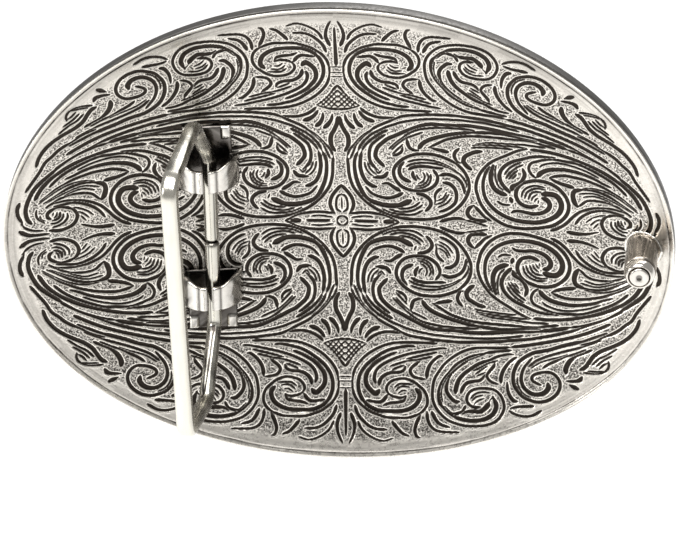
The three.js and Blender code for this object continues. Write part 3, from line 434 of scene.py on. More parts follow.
ENGRAVED = metal("engraved_silver", bright=(0.99, 0.945, 0.87), shade=(0.82, 0.76, 0.68),
                 dark=(0.036, 0.030, 0.025), rough=0.3, mottle=0.3, engraved=True)
# a darker copy of the silver for all of the front shell but its show face: painted shade
SHADED_RIM = metal("rim_silver_shaded", bright=(0.22, 0.213, 0.205), shade=(0.15, 0.146, 0.14),
            dark=(0.10, 0.095, 0.09), rough=0.45, mottle=0.6, grain=0.1, streak=(1, 1, 0.2))
POLISHED = metal("polished_silver", bright=(0.90, 0.87, 0.81), shade=(0.62, 0.56, 0.50),
                 dark=(0.05, 0.043, 0.038), rough=0.17, mottle=0.35, grain=0.1)
WIRE = metal("wire_silver", bright=(0.83, 0.81, 0.72), shade=(0.67, 0.61, 0.54),
             dark=(0.05, 0.043, 0.038), rough=0.2, mottle=0.3, grain=0.08, streak=(1, 1, 0.15))
STUD = metal("stud_metal", bright=(0.60, 0.54, 0.47), shade=(0.25, 0.215, 0.18),
             dark=(0.03, 0.026, 0.022), rough=0.26, mottle=0.9, grain=0.15, streak=(1, 0.12, 1))
BRONZE = metal("jewellers_bronze", bright=(0.78, 0.53, 0.24), shade=(0.50, 0.31, 0.12),
               dark=(0.07, 0.04, 0.02), rough=0.28, mottle=0.5)
SHOW = metal("show_silver", bright=(0.88, 0.86, 0.82), shade=(0.62, 0.58, 0.54),
             dark=(0.07, 0.062, 0.055), rough=0.3, mottle=0.4)


# ---- mesh helpers ------------------------------------------------------------------------------
def mark(mesh, label, values):
    """One number for every point of the mesh, for its material to read."""
    layer = mesh.attributes.new(label, "FLOAT", "POINT")
    layer.data.foreach_set("value", values)


def piece(name, points, faces, tone, mat, body, nodes):
    """A mesh piece from millimetre points, with its tone, finish, body and the CAD nodes it shows."""
    mesh = bpy.data.meshes.new(name)
    points = np.asarray(points, float) * MM
    mesh.from_pydata(points.tolist(), [], [tuple(int(k) for k in f) for f in faces])
    mesh.validate()
    mesh.polygons.foreach_set("use_smooth", [True] * len(mesh.polygons))
    mark(mesh, "tone", np.clip(np.asarray(tone, float), 0, 1))
    mesh.materials.append(mat)
    mesh.update()
    obj = bpy.data.objects.new(name, mesh)
    bpy.context.scene.collection.objects.link(obj)
    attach(obj, body)
    if nodes:
        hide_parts(*nodes)
    return obj


def second_finish(obj, mat, chosen):
    """Gives another material to the faces whose points are all chosen."""
    obj.data.materials.append(mat)
    for poly in obj.data.polygons:
        if all(chosen[k] for k in poly.vertices):
            poly.material_index = 1


def grid_faces(rows, cols, wrap_rows=False, wrap_cols=False, flip=False, base=0):
    """Quads over a grid of points stored row by row."""
    i, j = np.meshgrid(np.arange(rows if wrap_rows else rows - 1),
                       np.arange(cols if wrap_cols else cols - 1), indexing="ij")
    i, j = i.ravel(), j.ravel()
    down, across = (i + 1) % rows, (j + 1) % cols
    corners = (i * cols + j, i * cols + across, down * cols + across, down * cols + j)
    quads = np.stack(corners, 1) + base
    return [tuple(q) for q in (quads[:, ::-1] if flip else quads)]


def fan(ring, centre, flip=False):
    """Triangles from each side of a ring to its centre."""
    ring = list(ring)
    pairs = zip(ring, ring[1:] + ring[:1])
    return [(centre, b, a) if flip else (centre, a, b) for a, b in pairs]


def border(rows, cols):
    """Indices round the edge of a grid of points."""
    index = np.arange(rows * cols).reshape(rows, cols)
    return np.concatenate([index[0, :-1], index[:-1, -1], index[-1, :0:-1], index[:0:-1, 0]])


def slab(top, low, base=0):
    """Points and faces of a sheet between two grids of points, closed round its edge."""
    rows, cols = top.shape[:2]
    size = rows * cols
    loop = base + border(rows, cols)
    faces = grid_faces(rows, cols, base=base) + grid_faces(rows, cols, flip=True, base=base + size)
    faces += [(a, size + a, size + b, b) for a, b in zip(loop, np.roll(loop, -1))]
    return np.vstack([top.reshape(-1, 3), low.reshape(-1, 3)]), faces


def capped(first, rings, last, flip=False):
    """Points and faces of a stack of rings, closed at both ends round a centre point."""
    sectors = len(rings[0])
    points = np.vstack([[first], *rings, [last]])
    end = len(points) - 1
    faces = grid_faces(len(rings), sectors, wrap_cols=True, flip=flip, base=1)
    faces += fan(range(1, 1 + sectors), 0, flip=not flip)
    faces += fan(range(end - sectors, end), end, flip=flip)
    return points, faces


def oval_disc(half_x, half_z, profile, sectors):
    """Points and faces of a disc that follows the dish: (share, inset, depth) from back to front."""
    angle = around(sectors)
    rings = []
    for share, inset, depth in profile:
        x = (half_x * share - inset) * np.cos(angle)
        z = (half_z * share - inset) * np.sin(angle)
        rings.append(on_dish(x, z, depth))
    return capped((0, profile[0][2], 0), rings, (0, profile[-1][2], 0), flip=True)


def lathe(profile, sectors):
    """Points and faces turned about an axis from (radius, height), the first and last on it."""
    angle = around(sectors)
    rings = []
    for radius, height in profile[1:-1]:
        ring = [radius * np.cos(angle), radius * np.sin(angle), np.full(sectors, height)]
        rings.append(np.stack(ring, 1))
    return capped((0, 0, profile[0][1]), rings, (0, 0, profile[-1][1]))


def sweep(path, sideways, section, closed=False):
    """Points and faces of a tube. section(i) gives (across, in plane) for each side of ring i."""
    path = np.asarray(path, float)
    count = len(path)
    if closed:
        tangent = np.roll(path, -1, 0) - np.roll(path, 1, 0)
    else:
        tangent = np.gradient(path, axis=0)
    tangent /= np.linalg.norm(tangent, axis=1)[:, None]
    in_plane = np.cross(tangent, sideways)
    in_plane /= np.linalg.norm(in_plane, axis=1)[:, None]
    across = np.cross(in_plane, tangent)
    rings = []
    for i in range(count):
        outline = section(i)
        rings.append(path[i] + outline[:, :1] * across[i] + outline[:, 1:] * in_plane[i])
    sides = len(rings[0])
    faces = grid_faces(count, sides, wrap_rows=closed, wrap_cols=True)
    if not closed:
        faces.append(tuple(range(sides - 1, -1, -1)))
        faces.append(tuple(range((count - 1) * sides, count * sides)))
    return np.vstack(rings), faces


def rounded(corners, steps):
    """A polyline with corners given as (point, radius), its straights split up too."""
    stride = 0.5
    out = [np.array(corners[0][0], float)]
    for k in range(1, len(corners) - 1):
        at, radius = np.array(corners[k][0]), corners[k][1]
        back, on = np.array(corners[k - 1][0]) - at, np.array(corners[k + 1][0]) - at
        a = at + back / np.linalg.norm(back) * radius
        b = at + on / np.linalg.norm(on) * radius
        start = out[-1]
        n = max(2, int(np.linalg.norm(a - start) / stride))
        out += [start + (a - start) * t for t in np.linspace(0, 1, n)[1:-1]]
        out += [(1 - t) ** 2 * a + 2 * t * (1 - t) * at + t * t * b for t in np.linspace(0, 1, steps)]
    start, end = out[-1], np.array(corners[-1][0])
    n = max(2, int(np.linalg.norm(end - start) / stride))
    out += [start + (end - start) * t for t in np.linspace(0, 1, n)[1:]]
    return np.array(out)


# ---- plate -------------------------------------------------------------------------------------
def margin_streaks(inset, angle):
    """Faint seeded scratches that run round the plain rim."""
    rows, cols, pitch = 60, 48, 0.22
    table = rng.standard_normal((rows, cols))
    row = np.clip(inset / pitch, 0, rows - 1.1)
    col = (angle / TAU % 1) * (cols - 0.01)
    i, j = row.astype(int), np.minimum(col.astype(int), cols - 2)
    return table[i, j] * (1 - (row - i)) + table[np.minimum(i + 1, rows - 1), j] * (row - i)


def make_back():
    """The engraved sheet: a fine oval grid pushed in and out, then its edge and its hidden face."""
    nx, nz = ((560, 424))
    u, v = np.meshgrid(np.linspace(-1, 1, nx + 1), np.linspace(-1, 1, nz + 1))
    x = HALF_X * u * np.sqrt(1 - v * v / 2)
    z = HALF_Z * v * np.sqrt(1 - u * u / 2)
    share, angle = oval_polar(x, z)
    slope = np.hypot(np.cos(angle) / HALF_X, np.sin(angle) / HALF_Z)
    inset = (1 - share) / np.maximum(slope, 1e-6)  # in from the rim, near enough
    away = sample(engraving(), x, z)
    # the punched ground fades out into the plain rim
    inside = ramp(inset, 1.5, 3.9)
    matted = inside * ramp(HALF_X - np.abs(x), 1.6, 4.2)
    groove = ramp(-away, -0.12, 0.02)
    lip = ramp(away, 0.04, 0.12) * (1 - ramp(away, 0.2, 0.32))
    ground = ramp(away, 0.2, 0.3) * matted
    speckle = rng.standard_normal(x.shape)
    speckle = (speckle + 0.6 * np.roll(speckle, 1, 0) + 0.6 * np.roll(speckle, 1, 1)) / 1.4
    streak = margin_streaks(inset, angle)
    rim_line = bell(inset, 0.72 + 0.05 * wavy(angle * 9, 3), 0.1)
    edge_lip = 1 - ramp(inset, 0.2, 0.42)
    groove_depth, lip_height, punch_height, streak_height = 0.16, 0.05, 0.022, 0.008
    rim_height, rim_depth = 0.05, 0.1
    height = lip_height * lip - groove_depth * groove + punch_height * speckle * ground
    height += streak_height * streak * (1 - inside) + rim_height * edge_lip - rim_depth * rim_line
    height = np.where(inset < 0.02, 0, height)
    broken = 0.55 + 0.45 * np.clip(wavy(angle * 31, 5) + 0.5, 0, 1)
    # the rim is darker along the top and towards the hinge's end
    rim_darkening = 0.27 + 0.07 * streak + 0.3 * ramp(z, 20, 36) + 0.13 * ramp(-x, 25, 50)
    tone = rim_line * 0.8 * broken + np.clip(rim_darkening, 0, 0.65) * (1 - inside) * (1 - edge_lip)
    points = on_dish(x, z, -height).reshape(-1, 3)

    rim = border(nz + 1, nx + 1)
    edge = points[rim]
    # painted shade: the sheet's edge wall is dark
    edge_shade_tone, hidden_tone = 0.8, 0.25
    rings, ring_tones = [], []
    turned = [(k, SHEET) for k in (0.998, 0.86, 0.72, 0.56, 0.4, 0.24, 0.08)]
    for share, depth in [(1, 0.1), (1, SHEET - 0.1)] + turned:
        rings.append(on_dish(edge[:, 0] * share, edge[:, 2] * share, depth))
        ring_tones.append(np.full(len(rim), edge_shade_tone if share == 1 else hidden_tone))
    count, n = len(points), len(rim)
    points = np.vstack([points, *rings, [[0, SHEET, 0]]])
    tones = np.concatenate([tone.ravel(), *ring_tones, [0.5]])
    first = np.arange(n)
    wall = np.stack([rim, count + first, count + (first + 1) % n, np.roll(rim, -1)], 1)
    last = count + (len(rings) - 1) * n
    faces = grid_faces(nz + 1, nx + 1) + [tuple(q) for q in wall]
    faces += grid_faces(len(rings), n, wrap_cols=True, flip=True, base=count)
    faces += fan(range(last, last + n), len(points) - 1, flip=True)
    obj = piece("back_plate_engraved", points, faces, tones, ENGRAVED, "buckle",
                ["back_plate"])
    rest = len(points) - count
    mark(obj.data, "away", np.concatenate([away.ravel(), np.full(rest, 1.0)]))
    mark(obj.data, "matted", np.concatenate([matted.ravel(), np.zeros(rest)]))


def make_front():
    """The show shell: a rolled edge, and rays cut into its field."""
    low, high = SHEET + SEAM, THICK
    profile = [(share, 0, low) for share in (0.15, 0.35, 0.55, 0.75, 0.9)]
    profile += [(1, 0.1, low), (1, 0.03, low + 0.04), (1, 0, low + 0.15), (1, 0, 1.6), (1, 0, high - 0.6),
                (1, 0.12, high - 0.25), (1, 0.32, high - 0.07), (1, 0.6, high)]
    profile += [(1 - k / 90, 0, high) for k in range(2, 89)]
    points, faces = oval_disc(HALF_X, HALF_Z, profile, 240)
    x, z = points[:, 0], points[:, 2]
    share, angle = oval_polar(x, z)
    show = points[:, 1] + dish(x, z) > high - 0.01
    field = ramp(share, 0.46, 0.49) * (1 - ramp(share, 0.87, 0.89)) * show
    ray_count, ray_depth = 120, 0.1
    rays = 0.5 + 0.5 * np.cos(angle * ray_count)
    points[:, 1] -= ray_depth * field * rays
    tone = field * (0.25 + 0.5 * rays) + 0.12 * show
    tone = np.where(show, tone, 0.2 + 0.1 * wavy(angle * 40, 9))
    # painted shade: all but the show face take the darker silver
    obj = piece("front_shell", points, faces, tone, SHADED_RIM, "buckle", ["front_plate"])
    second_finish(obj, SHOW, show)


# ---- bail --------------------------------------------------------------------------------------
def make_bail():
    """One bent wire: round in the hinge, filed flatter towards its outer leg."""
    lean = np.radians([9.6, 6.4])  # of the upper and the lower arm, away from straight out
    straight, flare, leg = 15, 25.1, 22.3  # half heights at the hinge, the elbows and the leg
    elbow, outer = 8.5, 23.9  # how far out the elbows and the leg stand

    def at(reach, height, arm):
        turn = lean[arm]
        return (HINGE_X - reach * math.sin(turn), -HINGE_OFF - reach * math.cos(turn), HINGE_MID + height)

    half_gap = 0.08
    corners = [(at(0, half_gap, 0), 0), (at(0, straight, 0), 1.0), (at(elbow, flare, 0), 1.8),
               (at(outer, leg, 0), 2.8), (at(outer, -leg, 1), 2.3), (at(elbow, -flare, 1), 1.8),
               (at(0, -straight, 1), 1.0), (at(0, -half_gap, 1), 0)]
    path = rounded(corners, 14)
    average = lean.mean()
    sideways = np.array([math.cos(average), -math.sin(average), 0])
    run = np.concatenate([[0], np.cumsum(np.linalg.norm(np.diff(path, axis=0), axis=1))])
    theta = around(56)
    front = 4.7  # the side of the wire that faces away from the plate
    round_half, leg_wide, leg_deep = 1.15, 1.37, 1.12
    wander_u, wander_v = wavy(run * 0.5, 11), wavy(run * 0.42, 12)
    tones = []

    def section(i):
        height = path[i][2]
        reach = math.hypot(path[i][0] - HINGE_X, path[i][1] + HINGE_OFF)
        flat = float(ramp(np.array(reach), 0.5, 22.9))
        half_u = round_half + (leg_wide - round_half) * flat + 0.02 * wander_u[i]
        half_v = round_half + (leg_deep - round_half) * flat + 0.02 * wander_v[i]
        power = 1 - 0.42 * flat
        c, s = np.cos(theta), np.sin(theta)
        u = half_u * np.sign(c) * np.abs(c) ** power
        v = half_v * np.sign(s) * np.abs(s) ** power
        to_end = min(run[i], run[-1] - run[i])
        trim = 1 - 0.22 * (1 - min(to_end / 0.35, 1)) ** 2
        # filed facets with creases between them on the lower arm, and one nick on the leg. The creases and
        # the dent also take painted shade.
        low_arm = float(height < HINGE_MID - 15.2 and 0.3 < reach < 9.5)
        along = reach / elbow
        crease = bell(theta, 4.95 - 0.5 * along, 0.13) + 0.8 * bell(theta, 3.95 + 0.35 * along, 0.12)
        dent = bell(reach, 0.9, 0.35) * bell(theta, 4.75, 0.4)
        crease = np.minimum(low_arm * (crease + dent), 1)
        nick = bell(height, -0.7, 0.8) * bell(theta, 5.6, 0.5) * (reach > 20)
        scale = trim * (1 - 0.1 * crease - 0.12 * nick)
        # thin dark lines along the pin: a pair above the joint in the wire, one below it
        below = height < HINGE_MID
        on_pin = reach < 0.3
        pin_lines = bell(np.abs(theta - front), 0.3 if below else 0.75, 0.09) * on_pin * 0.85
        pin_lines = np.where((theta > front) & below, 0, pin_lines)
        arm = float(reach < 21.5)
        # painted shade: the wire grows darker towards its rounded sides
        side = np.abs(c) ** 3
        # the arms are darker and uneven along their length
        arm_darkening = np.clip(0.32 + 0.3 * wavy(np.array(run[i] * 0.9) + theta, 15), 0, 0.7) * (reach > 0.5)
        # painted shade: the wire's two ends are dark where they meet in the joint
        tones.append(0.92 * crease + 0.6 * nick + pin_lines + 0.14 * on_pin + 0.9 * (to_end < 0.3) + arm * arm_darkening
                     + (0.2 + 0.1 * arm) * side)
        return np.stack([u * scale, v * scale], 1)

    points, faces = sweep(path, sideways, section)
    piece("bail_wire", points, faces, np.concatenate(tones), WIRE, "bail", ["bail"])


# ---- clips -------------------------------------------------------------------------------------
def make_clip(name, end):
    """A strip curled over the hinge wire, with a tongue; end is 1 above the middle and -1 below."""
    near, far, tongue = 8.1, 13.1, 18.4  # along the hinge: the curl's two edges, the tongue's end
    half, height, tongue_half = 5.0, 5.3, 3.9
    wall, slit, base = 0.9, 0.8, 0.45
    shoulder = 0.9  # power that squares the curl a little
    scoop_depth = 0.95  # of the curl's upper edge, towards the slit
    bevel = [0.24, 0.08, 0.0]

    def arc(half_width, top, foot, n):
        start = math.acos(slit / 2 / half_width)
        stop = math.asin(min((foot / top) ** (1 / shoulder), 1))
        a = np.linspace(start, stop, n)
        return np.stack([half_width * np.cos(a), top * np.abs(np.sin(a)) ** shoulder], 1)

    def whole(side_line, level, n):
        """The side line, a flat bottom and the side line again on the other side."""
        stop = side_line[-1, 0]
        bottom = np.stack([np.linspace(stop, -stop, n + 2)[1:-1], np.full(n, level)], 1)
        return np.vstack([side_line, bottom, side_line[::-1] * np.array([-1, 1])])

    arc_steps, flat_steps, row_steps = 44, 12, 12
    outer, inner = arc(half, height, 0, arc_steps), arc(half - wall, height - wall, base, arc_steps)
    # creased where the strip was folded over, beside the slit
    crease = bell(outer[:, 0], 1.75, 0.22)
    outer[:, 1] -= 0.2 * crease
    outer[:, 1] -= 0.12 * bell(outer[:, 0], 0.4, 0.2)
    out_line, in_line = whole(outer, 0.0, flat_steps), whole(inner, base, flat_steps)
    # painted shade along the creases
    crease_shade = np.concatenate([crease, np.zeros(flat_steps), crease[::-1]])
    m = len(out_line)
    rows = [near, near + 0.07, near + 0.22, *np.linspace(near + 0.5, far - 0.5, row_steps),
            far - 0.22, far - 0.07, far]
    pulls = bevel + [0.0] * row_steps + bevel[::-1]
    toward = in_line - out_line
    toward = toward / np.maximum(np.linalg.norm(toward, axis=1), 1e-6)[:, None]
    lift = np.clip(out_line[:, 1:] / 1.5, 0, 1)
    off_middle, up = np.abs(out_line[:, 0]), out_line[:, 1]
    points, tones = [], []
    for z, pull in zip(rows, pulls):
        dent = 0.035 * wavy(out_line[:, :1] * 1.3 + z * 0.9, 20 + end) * lift
        a = out_line + toward * (pull * np.clip(out_line[:, 1:] / 0.6, 0.15, 1) + np.abs(dent))
        b = in_line - toward * pull * 0.8 * np.clip(in_line[:, 1:] / 1.2, 0, 1)
        ring = np.vstack([a, b[::-1]])
        scoop = scoop_depth * (1 - ramp(np.abs(ring[:, 0]), 1.5, 3.8)) * (ring[:, 1] > 2)
        upper_share = (far - z if end < 0 else near - z) / (far - near)
        points.append(np.stack([ring[:, 0], z + scoop * upper_share, ring[:, 1]], 1))
        # painted shade at the curl's foot, next to the plate
        foot = np.exp(-np.abs(up) / 0.35) * 0.55
        # painted shade on the curl's sides, uneven along them
        side_shade = 0.62 * ramp(off_middle, 2.2, 4.0) * (0.75 + 0.45 * wavy(up * 2.3 + z * 1.7, 31))
        # painted shade at the edges of the slit
        slit_shade = 0.5 * bell(off_middle, 0.45, 0.25) * (up > 3)
        # painted shade: the inside of the curl is dark
        tones.append(np.concatenate([0.8 * crease_shade + foot + side_shade + slit_shade + 0.06, 0.9 + 0 * crease_shade]))
    points, tones = np.vstack(points), np.concatenate(tones)
    ring_size = 2 * m
    faces = grid_faces(len(rows), ring_size, wrap_cols=True)
    for row, turn in ((0, True), (len(rows) - 1, False)):
        start = row * ring_size
        for k in range(m - 1):
            quad = (start + k, start + k + 1, start + ring_size - 2 - k, start + ring_size - 1 - k)
            faces.append(quad[::-1] if turn else quad)

    # the tongue runs on past the curl, with two raised corners
    gu, gz = np.meshgrid(np.linspace(-tongue_half, tongue_half, 40), np.linspace(far - 0.9, tongue, 32))
    edge = np.minimum(tongue_half - np.abs(gu), tongue - gz)
    beyond = ramp(-np.abs(gu), -2.5, -2.2) < 0.5
    lug = beyond * ramp(gz, tongue - 2.3, tongue - 2.0) * ramp(np.abs(gu), 2.2, 2.45)
    top = base * (0.35 + 0.65 * ramp(edge, 0, 0.3)) + 0.2 * lug * ramp(edge, 0, 0.25)
    sheet, sheet_faces = slab(np.stack([gu, gz, top], -1), np.stack([gu, gz, 0 * top], -1), len(points))
    # painted shade and painted dark reflection: the tongue is nearly black
    tongue_shade = 0.92 + 0.07 * wavy(gu * 1.7 + gz * 2.3, 35)
    # the raised corners are lighter and uneven
    lug_tone = 0.22 + 0.3 * wavy(gu * 2.1 + gz * 1.3, 33)
    tones = np.concatenate([tones, (tongue_shade * (1 - lug) + lug * lug_tone).ravel(), np.full(gu.size, 0.4)])
    points = np.vstack([points, sheet])
    faces += sheet_faces
    x, z = CLIP_X + points[:, 0], points[:, 1]
    shaped = on_dish(x, z * end, -SOLDER_GAP - points[:, 2])
    if end < 0:
        faces = [f[::-1] for f in faces]
    piece(name + "_formed", shaped, faces, tones, POLISHED, "buckle", [name])


# ---- stud --------------------------------------------------------------------------------------
def make_stud():
    """The turned barrel with its necked head, the riveted pin in it, and the solder at its foot."""
    radius, bore = 2.6, 1.75
    profile = [(0, 0), (1.5, 0), (radius, 0), (radius, 0.4)]
    profile += [(radius, h) for h in np.linspace(0.8, 7.7, 16)]
    profile += [(radius, 8.0), (2.56, 8.1), (2.4, 8.16), (2.32, 8.26), (2.33, 8.38), (2.42, 8.47),
                (2.45, 8.7), (2.42, 9.1), (2.33, 9.5), (2.18, 9.85), (2.0, 10.06), (1.86, 10.1),
                (1.77, 10.06), (bore, 9.9), (bore, 8), (bore, 6.0), (1.6, 5.7), (0, 5.7)]
    points, faces = lathe(profile, 72)
    up, out = points[:, 2], np.hypot(points[:, 0], points[:, 1])
    angle = np.arctan2(points[:, 1], points[:, 0])
    barrel = (up > 0.5) & (up < 8.0) & (out > 2)
    inside = (out < 1.8) & (up < 10.0)
    head = (up > 8.4) & (out > 1.8)
    scrape = wavy(angle * 9, 41) * 0.5 + wavy(angle * 23, 42) * 0.5
    points[:, :2] *= np.where(barrel, 1 - 0.008 * np.abs(scrape), 1)[:, None]
    neck = bell(up, 8.27, 0.12) * (out > 2)
    tone = np.where(barrel, np.clip(0.3 + 0.32 * scrape, 0, 0.9), 0.1)
    # painted shade: the inside of the bore is dark
    tone = np.clip(tone + 0.9 * neck + 0.95 * inside - 0.1 * head, 0, 1)
    x, z = STUD_X + points[:, 0], points[:, 1]
    seat = dish(STUD_X, 0)
    floor = np.where(up < 0.2, dish(x, z) + SOLDER_GAP + up, seat + up)
    obj = piece("stud_barrel_turned", np.stack([x, -floor, z], 1), faces, tone, STUD, "buckle",
                ["stud_barrel"])
    second_finish(obj, POLISHED, head)

    pin = [(0, 6.0), (1.4, 6.0), (1.58, 6.1), (1.58, 10.1), (1.56, 10.25), (1.46, 10.37), (1.3, 10.4),
           (0.6, 10.38), (0.42, 10.3), (0.25, 10.2), (0, 10.16)]
    points, faces = lathe(pin, 48)
    dimple = (np.hypot(points[:, 0], points[:, 1]) < 0.45) & (points[:, 2] > 9)
    # painted shade: the pin is dark below its head, inside the bore
    tone = np.where(dimple, 0.75, 0.08) + 0.8 * (points[:, 2] < 9.9)
    shaped = np.stack([STUD_X + points[:, 0], -(seat + points[:, 2]), points[:, 1]], 1)
    piece("stud_pin_riveted", shaped, faces, tone, POLISHED, "buckle", ["stud_pin"])

    # the bead of solder, heavier on the side of the plate's end
    steps, sides = 96, 12
    theta = around(sides)
    rows, tones = [], []
    for a in around(steps):
        bead = 0.26 + 0.2 * max(0, math.cos(a + 0.7)) + 0.05 * float(wavy(np.array(a * 5), 51))
        r = 2.66 + bead * (0.45 + np.cos(theta))
        h = bead * 0.75 * (1 + np.sin(theta)) * 0.8
        px, pz = STUD_X + r * np.cos(a), r * np.sin(a)
        rows.append(on_dish(px, pz, -0.05 - h))
        # painted shade: the bead darkens towards the plate
        tones.append(np.clip(0.35 - 0.5 * np.sin(theta), 0, 0.7))
    faces = grid_faces(steps, sides, wrap_rows=True, wrap_cols=True, flip=True)
    piece("stud_solder", np.vstack(rows), faces, np.concatenate(tones), POLISHED, "buckle",
          [])


# ---- show face ---------------------------------------------------------------------------------
def make_rope(name, node, half_x, half_z, radius, steps, pitch):
    """Three strands twisted into a rope that runs round an oval."""
    angle = around(steps)
    x, z = half_x * np.cos(angle), half_z * np.sin(angle)
    path = on_dish(x, z, SEAT + radius)
    theta = around(18)
    turns = round(np.pi * (half_x + half_z) / pitch)
    tones = []

    def section(i):
        lobe = np.abs(np.cos(theta * 1.5 - turns * angle[i] * 0.5))
        size = radius * (0.74 + 0.24 * np.sqrt(lobe))
        tones.append(0.95 * (1 - ramp(lobe, 0.0, 0.5)))
        return np.stack([size * np.cos(theta), size * np.sin(theta)], 1)

    points, faces = sweep(path, np.array([0, 1.0, 0]), section, closed=True)
    piece(name, points, faces, np.concatenate(tones), BRONZE, "buckle", [node])


def make_plaque():
    """The fluted oval in the middle."""
    half_x, half_z, low, high = 22, 15.6, SEAT, SEAT + 1.0
    profile = [(share, 0, low) for share in (0.2, 0.5, 0.8)]
    profile += [(1, 0.05, low), (1, 0, low + 0.15), (1, 0.05, high - 0.25), (1, 0.2, high - 0.06),
                (1, 0.4, high)]
    profile += [(1 - k / 44, 0, high) for k in range(2, 42)]
    points, faces = oval_disc(half_x, half_z, profile, 192)
    share, angle = oval_polar(points[:, 0], points[:, 2], half_x, half_z)
    top = points[:, 1] + dish(points[:, 0], points[:, 2]) > high - 0.01
    field = top * (1 - ramp(share, 0.86, 0.9))
    flute_count, flute_depth = 48, 0.16
    flute = 0.5 + 0.5 * np.cos(angle * flute_count)
    points[:, 1] -= flute_depth * field * flute
    piece("centre_plaque_fluted", points, faces, field * (0.15 + 0.55 * flute ** 2) + 0.05, SHOW,
          "buckle", ["centre_plaque"])


def make_rosette():
    """Eight cupped petals, and the domed boss with a milled foot that holds them."""
    petals, reach_most, rings, sectors = 8, 8.4, 40, 192
    rise = SEAT + 1.3
    angle = around(sectors)
    lobe = np.abs(np.cos(petals / 2 * angle)) ** 0.6
    reach = reach_most * (0.62 + 0.38 * lobe)
    spacing = TAU / petals
    rib = bell(np.mod(angle + spacing / 2, spacing), spacing / 2, 0.035)
    layers, tones = [], [0.5]
    for share, upper in [(0.5, 0), (0.98, 0)] + [(share, 1) for share in np.linspace(1, 0.06, rings)]:
        x, z = reach * share * np.cos(angle), reach * share * np.sin(angle)
        ridge = lobe * np.sin(np.pi * np.clip((share - 0.15) / 0.9, 0, 1)) ** 0.7
        thick = upper * (0.3 + 0.58 * ridge - 0.14 * rib * ridge) * (1 if share < 1 else 0.6)
        layers.append(on_dish(x, z, rise + thick))
        tones.extend(np.clip(0.75 * (1 - lobe) + 0.6 * rib * ridge, 0, 1) * upper)
    tones.append(0.5)
    points, faces = capped((0, rise, 0), layers, (0, rise + 0.3, 0), flip=True)
    piece("rosette_petals", points, faces, tones, BRONZE, "buckle", ["rosette"])

    seat = rise + 1.2
    arc = np.linspace(0.12, math.pi / 2 - 0.05, 14)
    outline = [(0, 0), (2.3, 0), (2.4, 0.12), (2.4, 0.3), (2.2, 0.38)]
    outline += [(2.25 * math.cos(a), 0.35 + 1.3 * math.sin(a)) for a in arc] + [(0, 1.66)]
    points, faces = lathe(outline, 60)
    mill = (points[:, 2] < 0.35) & (np.hypot(points[:, 0], points[:, 1]) > 2)
    turn = np.arctan2(points[:, 1], points[:, 0])
    points[:, :2] *= np.where(mill, 0.985 + 0.015 * np.cos(turn * 20), 1)[:, None]
    shaped = np.stack([points[:, 0], seat + points[:, 2], -points[:, 1]], 1)
    piece("rosette_boss_domed", shaped, faces, np.where(mill, 0.5, 0.05), POLISHED, "buckle",
          ["rosette_boss"])


def make_spray(label, spine):
    """A long veined leaf along its spine."""
    count, cols, half_most, lobes = len(spine), 25, 3.3, 7
    t = np.linspace(0, 1, count)
    tangent = np.gradient(spine, axis=0)
    tangent /= np.linalg.norm(tangent, axis=1)[:, None]
    normal = np.stack([-tangent[:, 1], tangent[:, 0]], 1)
    notch = 1 - 0.2 * np.abs(np.sin(t * np.pi * lobes)) ** 3
    half = (0.4 + half_most * np.sin(np.pi * t) ** 0.8) * notch
    across = np.linspace(-1, 1, cols)
    place = spine[:, None, :] + normal[:, None, :] * (half[:, None] * across)[..., None]
    vein = np.abs(np.sin(t[:, None] * np.pi * 2 * lobes - np.abs(across) * 2.2)) ** 6
    rib = bell(across, 0, 0.09)[None, :]
    crown = (1 - across ** 2)[None, :] ** 0.6 * np.sin(np.pi * t)[:, None] ** 0.4
    thick = 0.12 + 0.64 * crown - 0.16 * vein * crown - 0.2 * rib * crown
    x, z = place[..., 0], place[..., 1]
    points, faces = slab(on_dish(x, z, SEAT + np.clip(thick, 0.1, 0.8)), on_dish(x, z, SEAT))
    tone = np.clip(0.7 * vein * crown + 0.8 * rib * crown, 0, 1).ravel()
    name = "corner_spray_" + label
    piece(name + "_leaf", points, faces, np.concatenate([tone, 0 * tone + 0.5]), BRONZE, "buckle",
          [name])


def make_show_face():
    """The trim: two ropes, the plaque and its flower, and a leaf spray in each corner."""
    make_rope("rope_border_twisted", "rope_border", HALF_X - 3.1, HALF_Z - 3.1, 0.95, 1500, 1.9)
    make_rope("plaque_rope_twisted", "plaque_rope", 22.95, 16.55, 0.65, 720, 1.3)
    make_plaque()
    make_rosette()
    spine = curve([(8.5, 27), (20, 26), (31, 20.5), (39, 12.5), (43, 4.5)], 0.25)
    for label, side_x, side_z in (("ne", 1, 1), ("nw", -1, 1), ("sw", -1, -1), ("se", 1, -1)):
        make_spray(label, spine * np.array([side_x, side_z]))


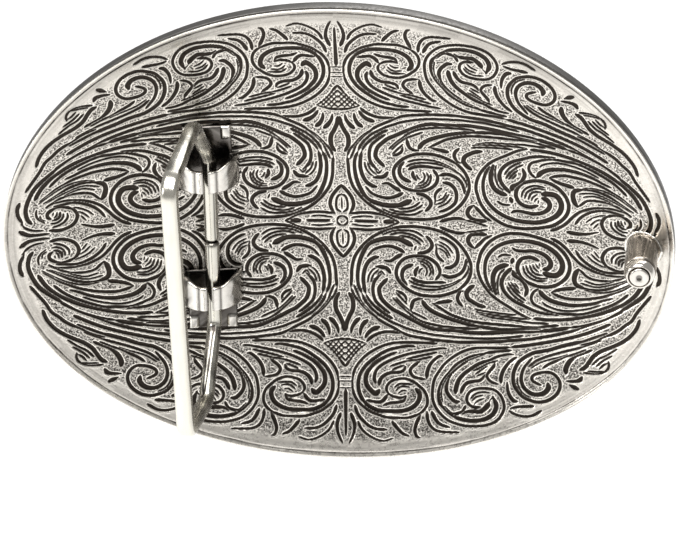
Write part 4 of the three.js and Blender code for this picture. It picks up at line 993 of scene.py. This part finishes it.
# ---- stage -------------------------------------------------------------------------------------
def make_camera():
    """The camera stands 1.6 m off, turned a little to the side and looking 28 degrees down."""
    roll, down, side = 1.6889, 28.2835, -5.5231  # degrees
    stand = (-0.4622, -8.9515, 1615.475)  # from the middle of the buckle, along the camera's own axes
    sensor, focal = 36, 530.19146

    def turn(axis, degrees):
        return Matrix.Rotation(math.radians(degrees), 3, axis)

    view = turn("Z", roll) @ turn("X", down) @ turn("Y", side)
    to_frame = Matrix(((1, 0, 0), (0, 0, -1), (0, 1, 0)))
    aim = to_frame @ view.transposed()
    data = bpy.data.cameras.new("camera")
    data.sensor_width = sensor
    data.lens = focal
    data.clip_end = 20
    camera = bpy.data.objects.new("camera", data)
    camera.matrix_world = Matrix.Translation(aim @ Vector(stand) * MM) @ aim.to_4x4()
    bpy.context.scene.collection.objects.link(camera)
    bpy.context.scene.camera = camera


def make_floor():
    """A wide white floor under the buckle."""
    reach, height, white = 6.0, -0.32, 0.95  # metres
    corners = [(-reach, -reach), (reach, -reach), (reach, reach), (-reach, reach)]
    mesh = bpy.data.meshes.new("floor")
    mesh.from_pydata([(x, y, height) for x, y in corners], [], [(0, 1, 2, 3)])
    floor = bpy.data.objects.new("floor", mesh)
    bpy.context.scene.collection.objects.link(floor)
    paint = bpy.data.materials.new("floor_white")
    paint.use_nodes = True
    shader = paint.node_tree.nodes["Principled BSDF"]
    shader.inputs["Base Color"].default_value = (white, white, white, 1)
    shader.inputs["Roughness"].default_value = 0.9
    mesh.materials.append(paint)


def make_lights():
    """A soft white world, a large key light above and two weaker lights."""
    world = bpy.data.worlds.new("studio")
    world.use_nodes = True
    background = world.node_tree.nodes["Background"]
    background.inputs["Color"].default_value = (1.0, 0.99, 0.97, 1)
    background.inputs["Strength"].default_value = 0.33
    bpy.context.scene.world = world
    # name, place in metres, size in metres, watts
    lamps = [("key", (-0.25, -0.7, 1.5), 1.5, 38), ("left", (-1.1, -0.7, 0.3), 0.35, 3.5),
             ("back", (0.3, 1.2, 1.2), 1.0, 12)]
    for name, place, size, power in lamps:
        light = bpy.data.lights.new(name, "AREA")
        light.size = size
        light.energy = power
        lamp = bpy.data.objects.new(name, light)
        lamp.location = place
        lamp.rotation_mode = "QUATERNION"
        direction = -lamp.location.normalized()
        lamp.rotation_quaternion = direction.to_track_quat("-Z", "Y")
        bpy.context.scene.collection.objects.link(lamp)
    bpy.context.scene.view_settings.view_transform = "Standard"


make_camera()
make_floor()
make_lights()
make_back()
make_front()
make_bail()
make_clip("hinge_clip_upper", 1)
make_clip("hinge_clip_lower", -1)
make_stud()
make_show_face()
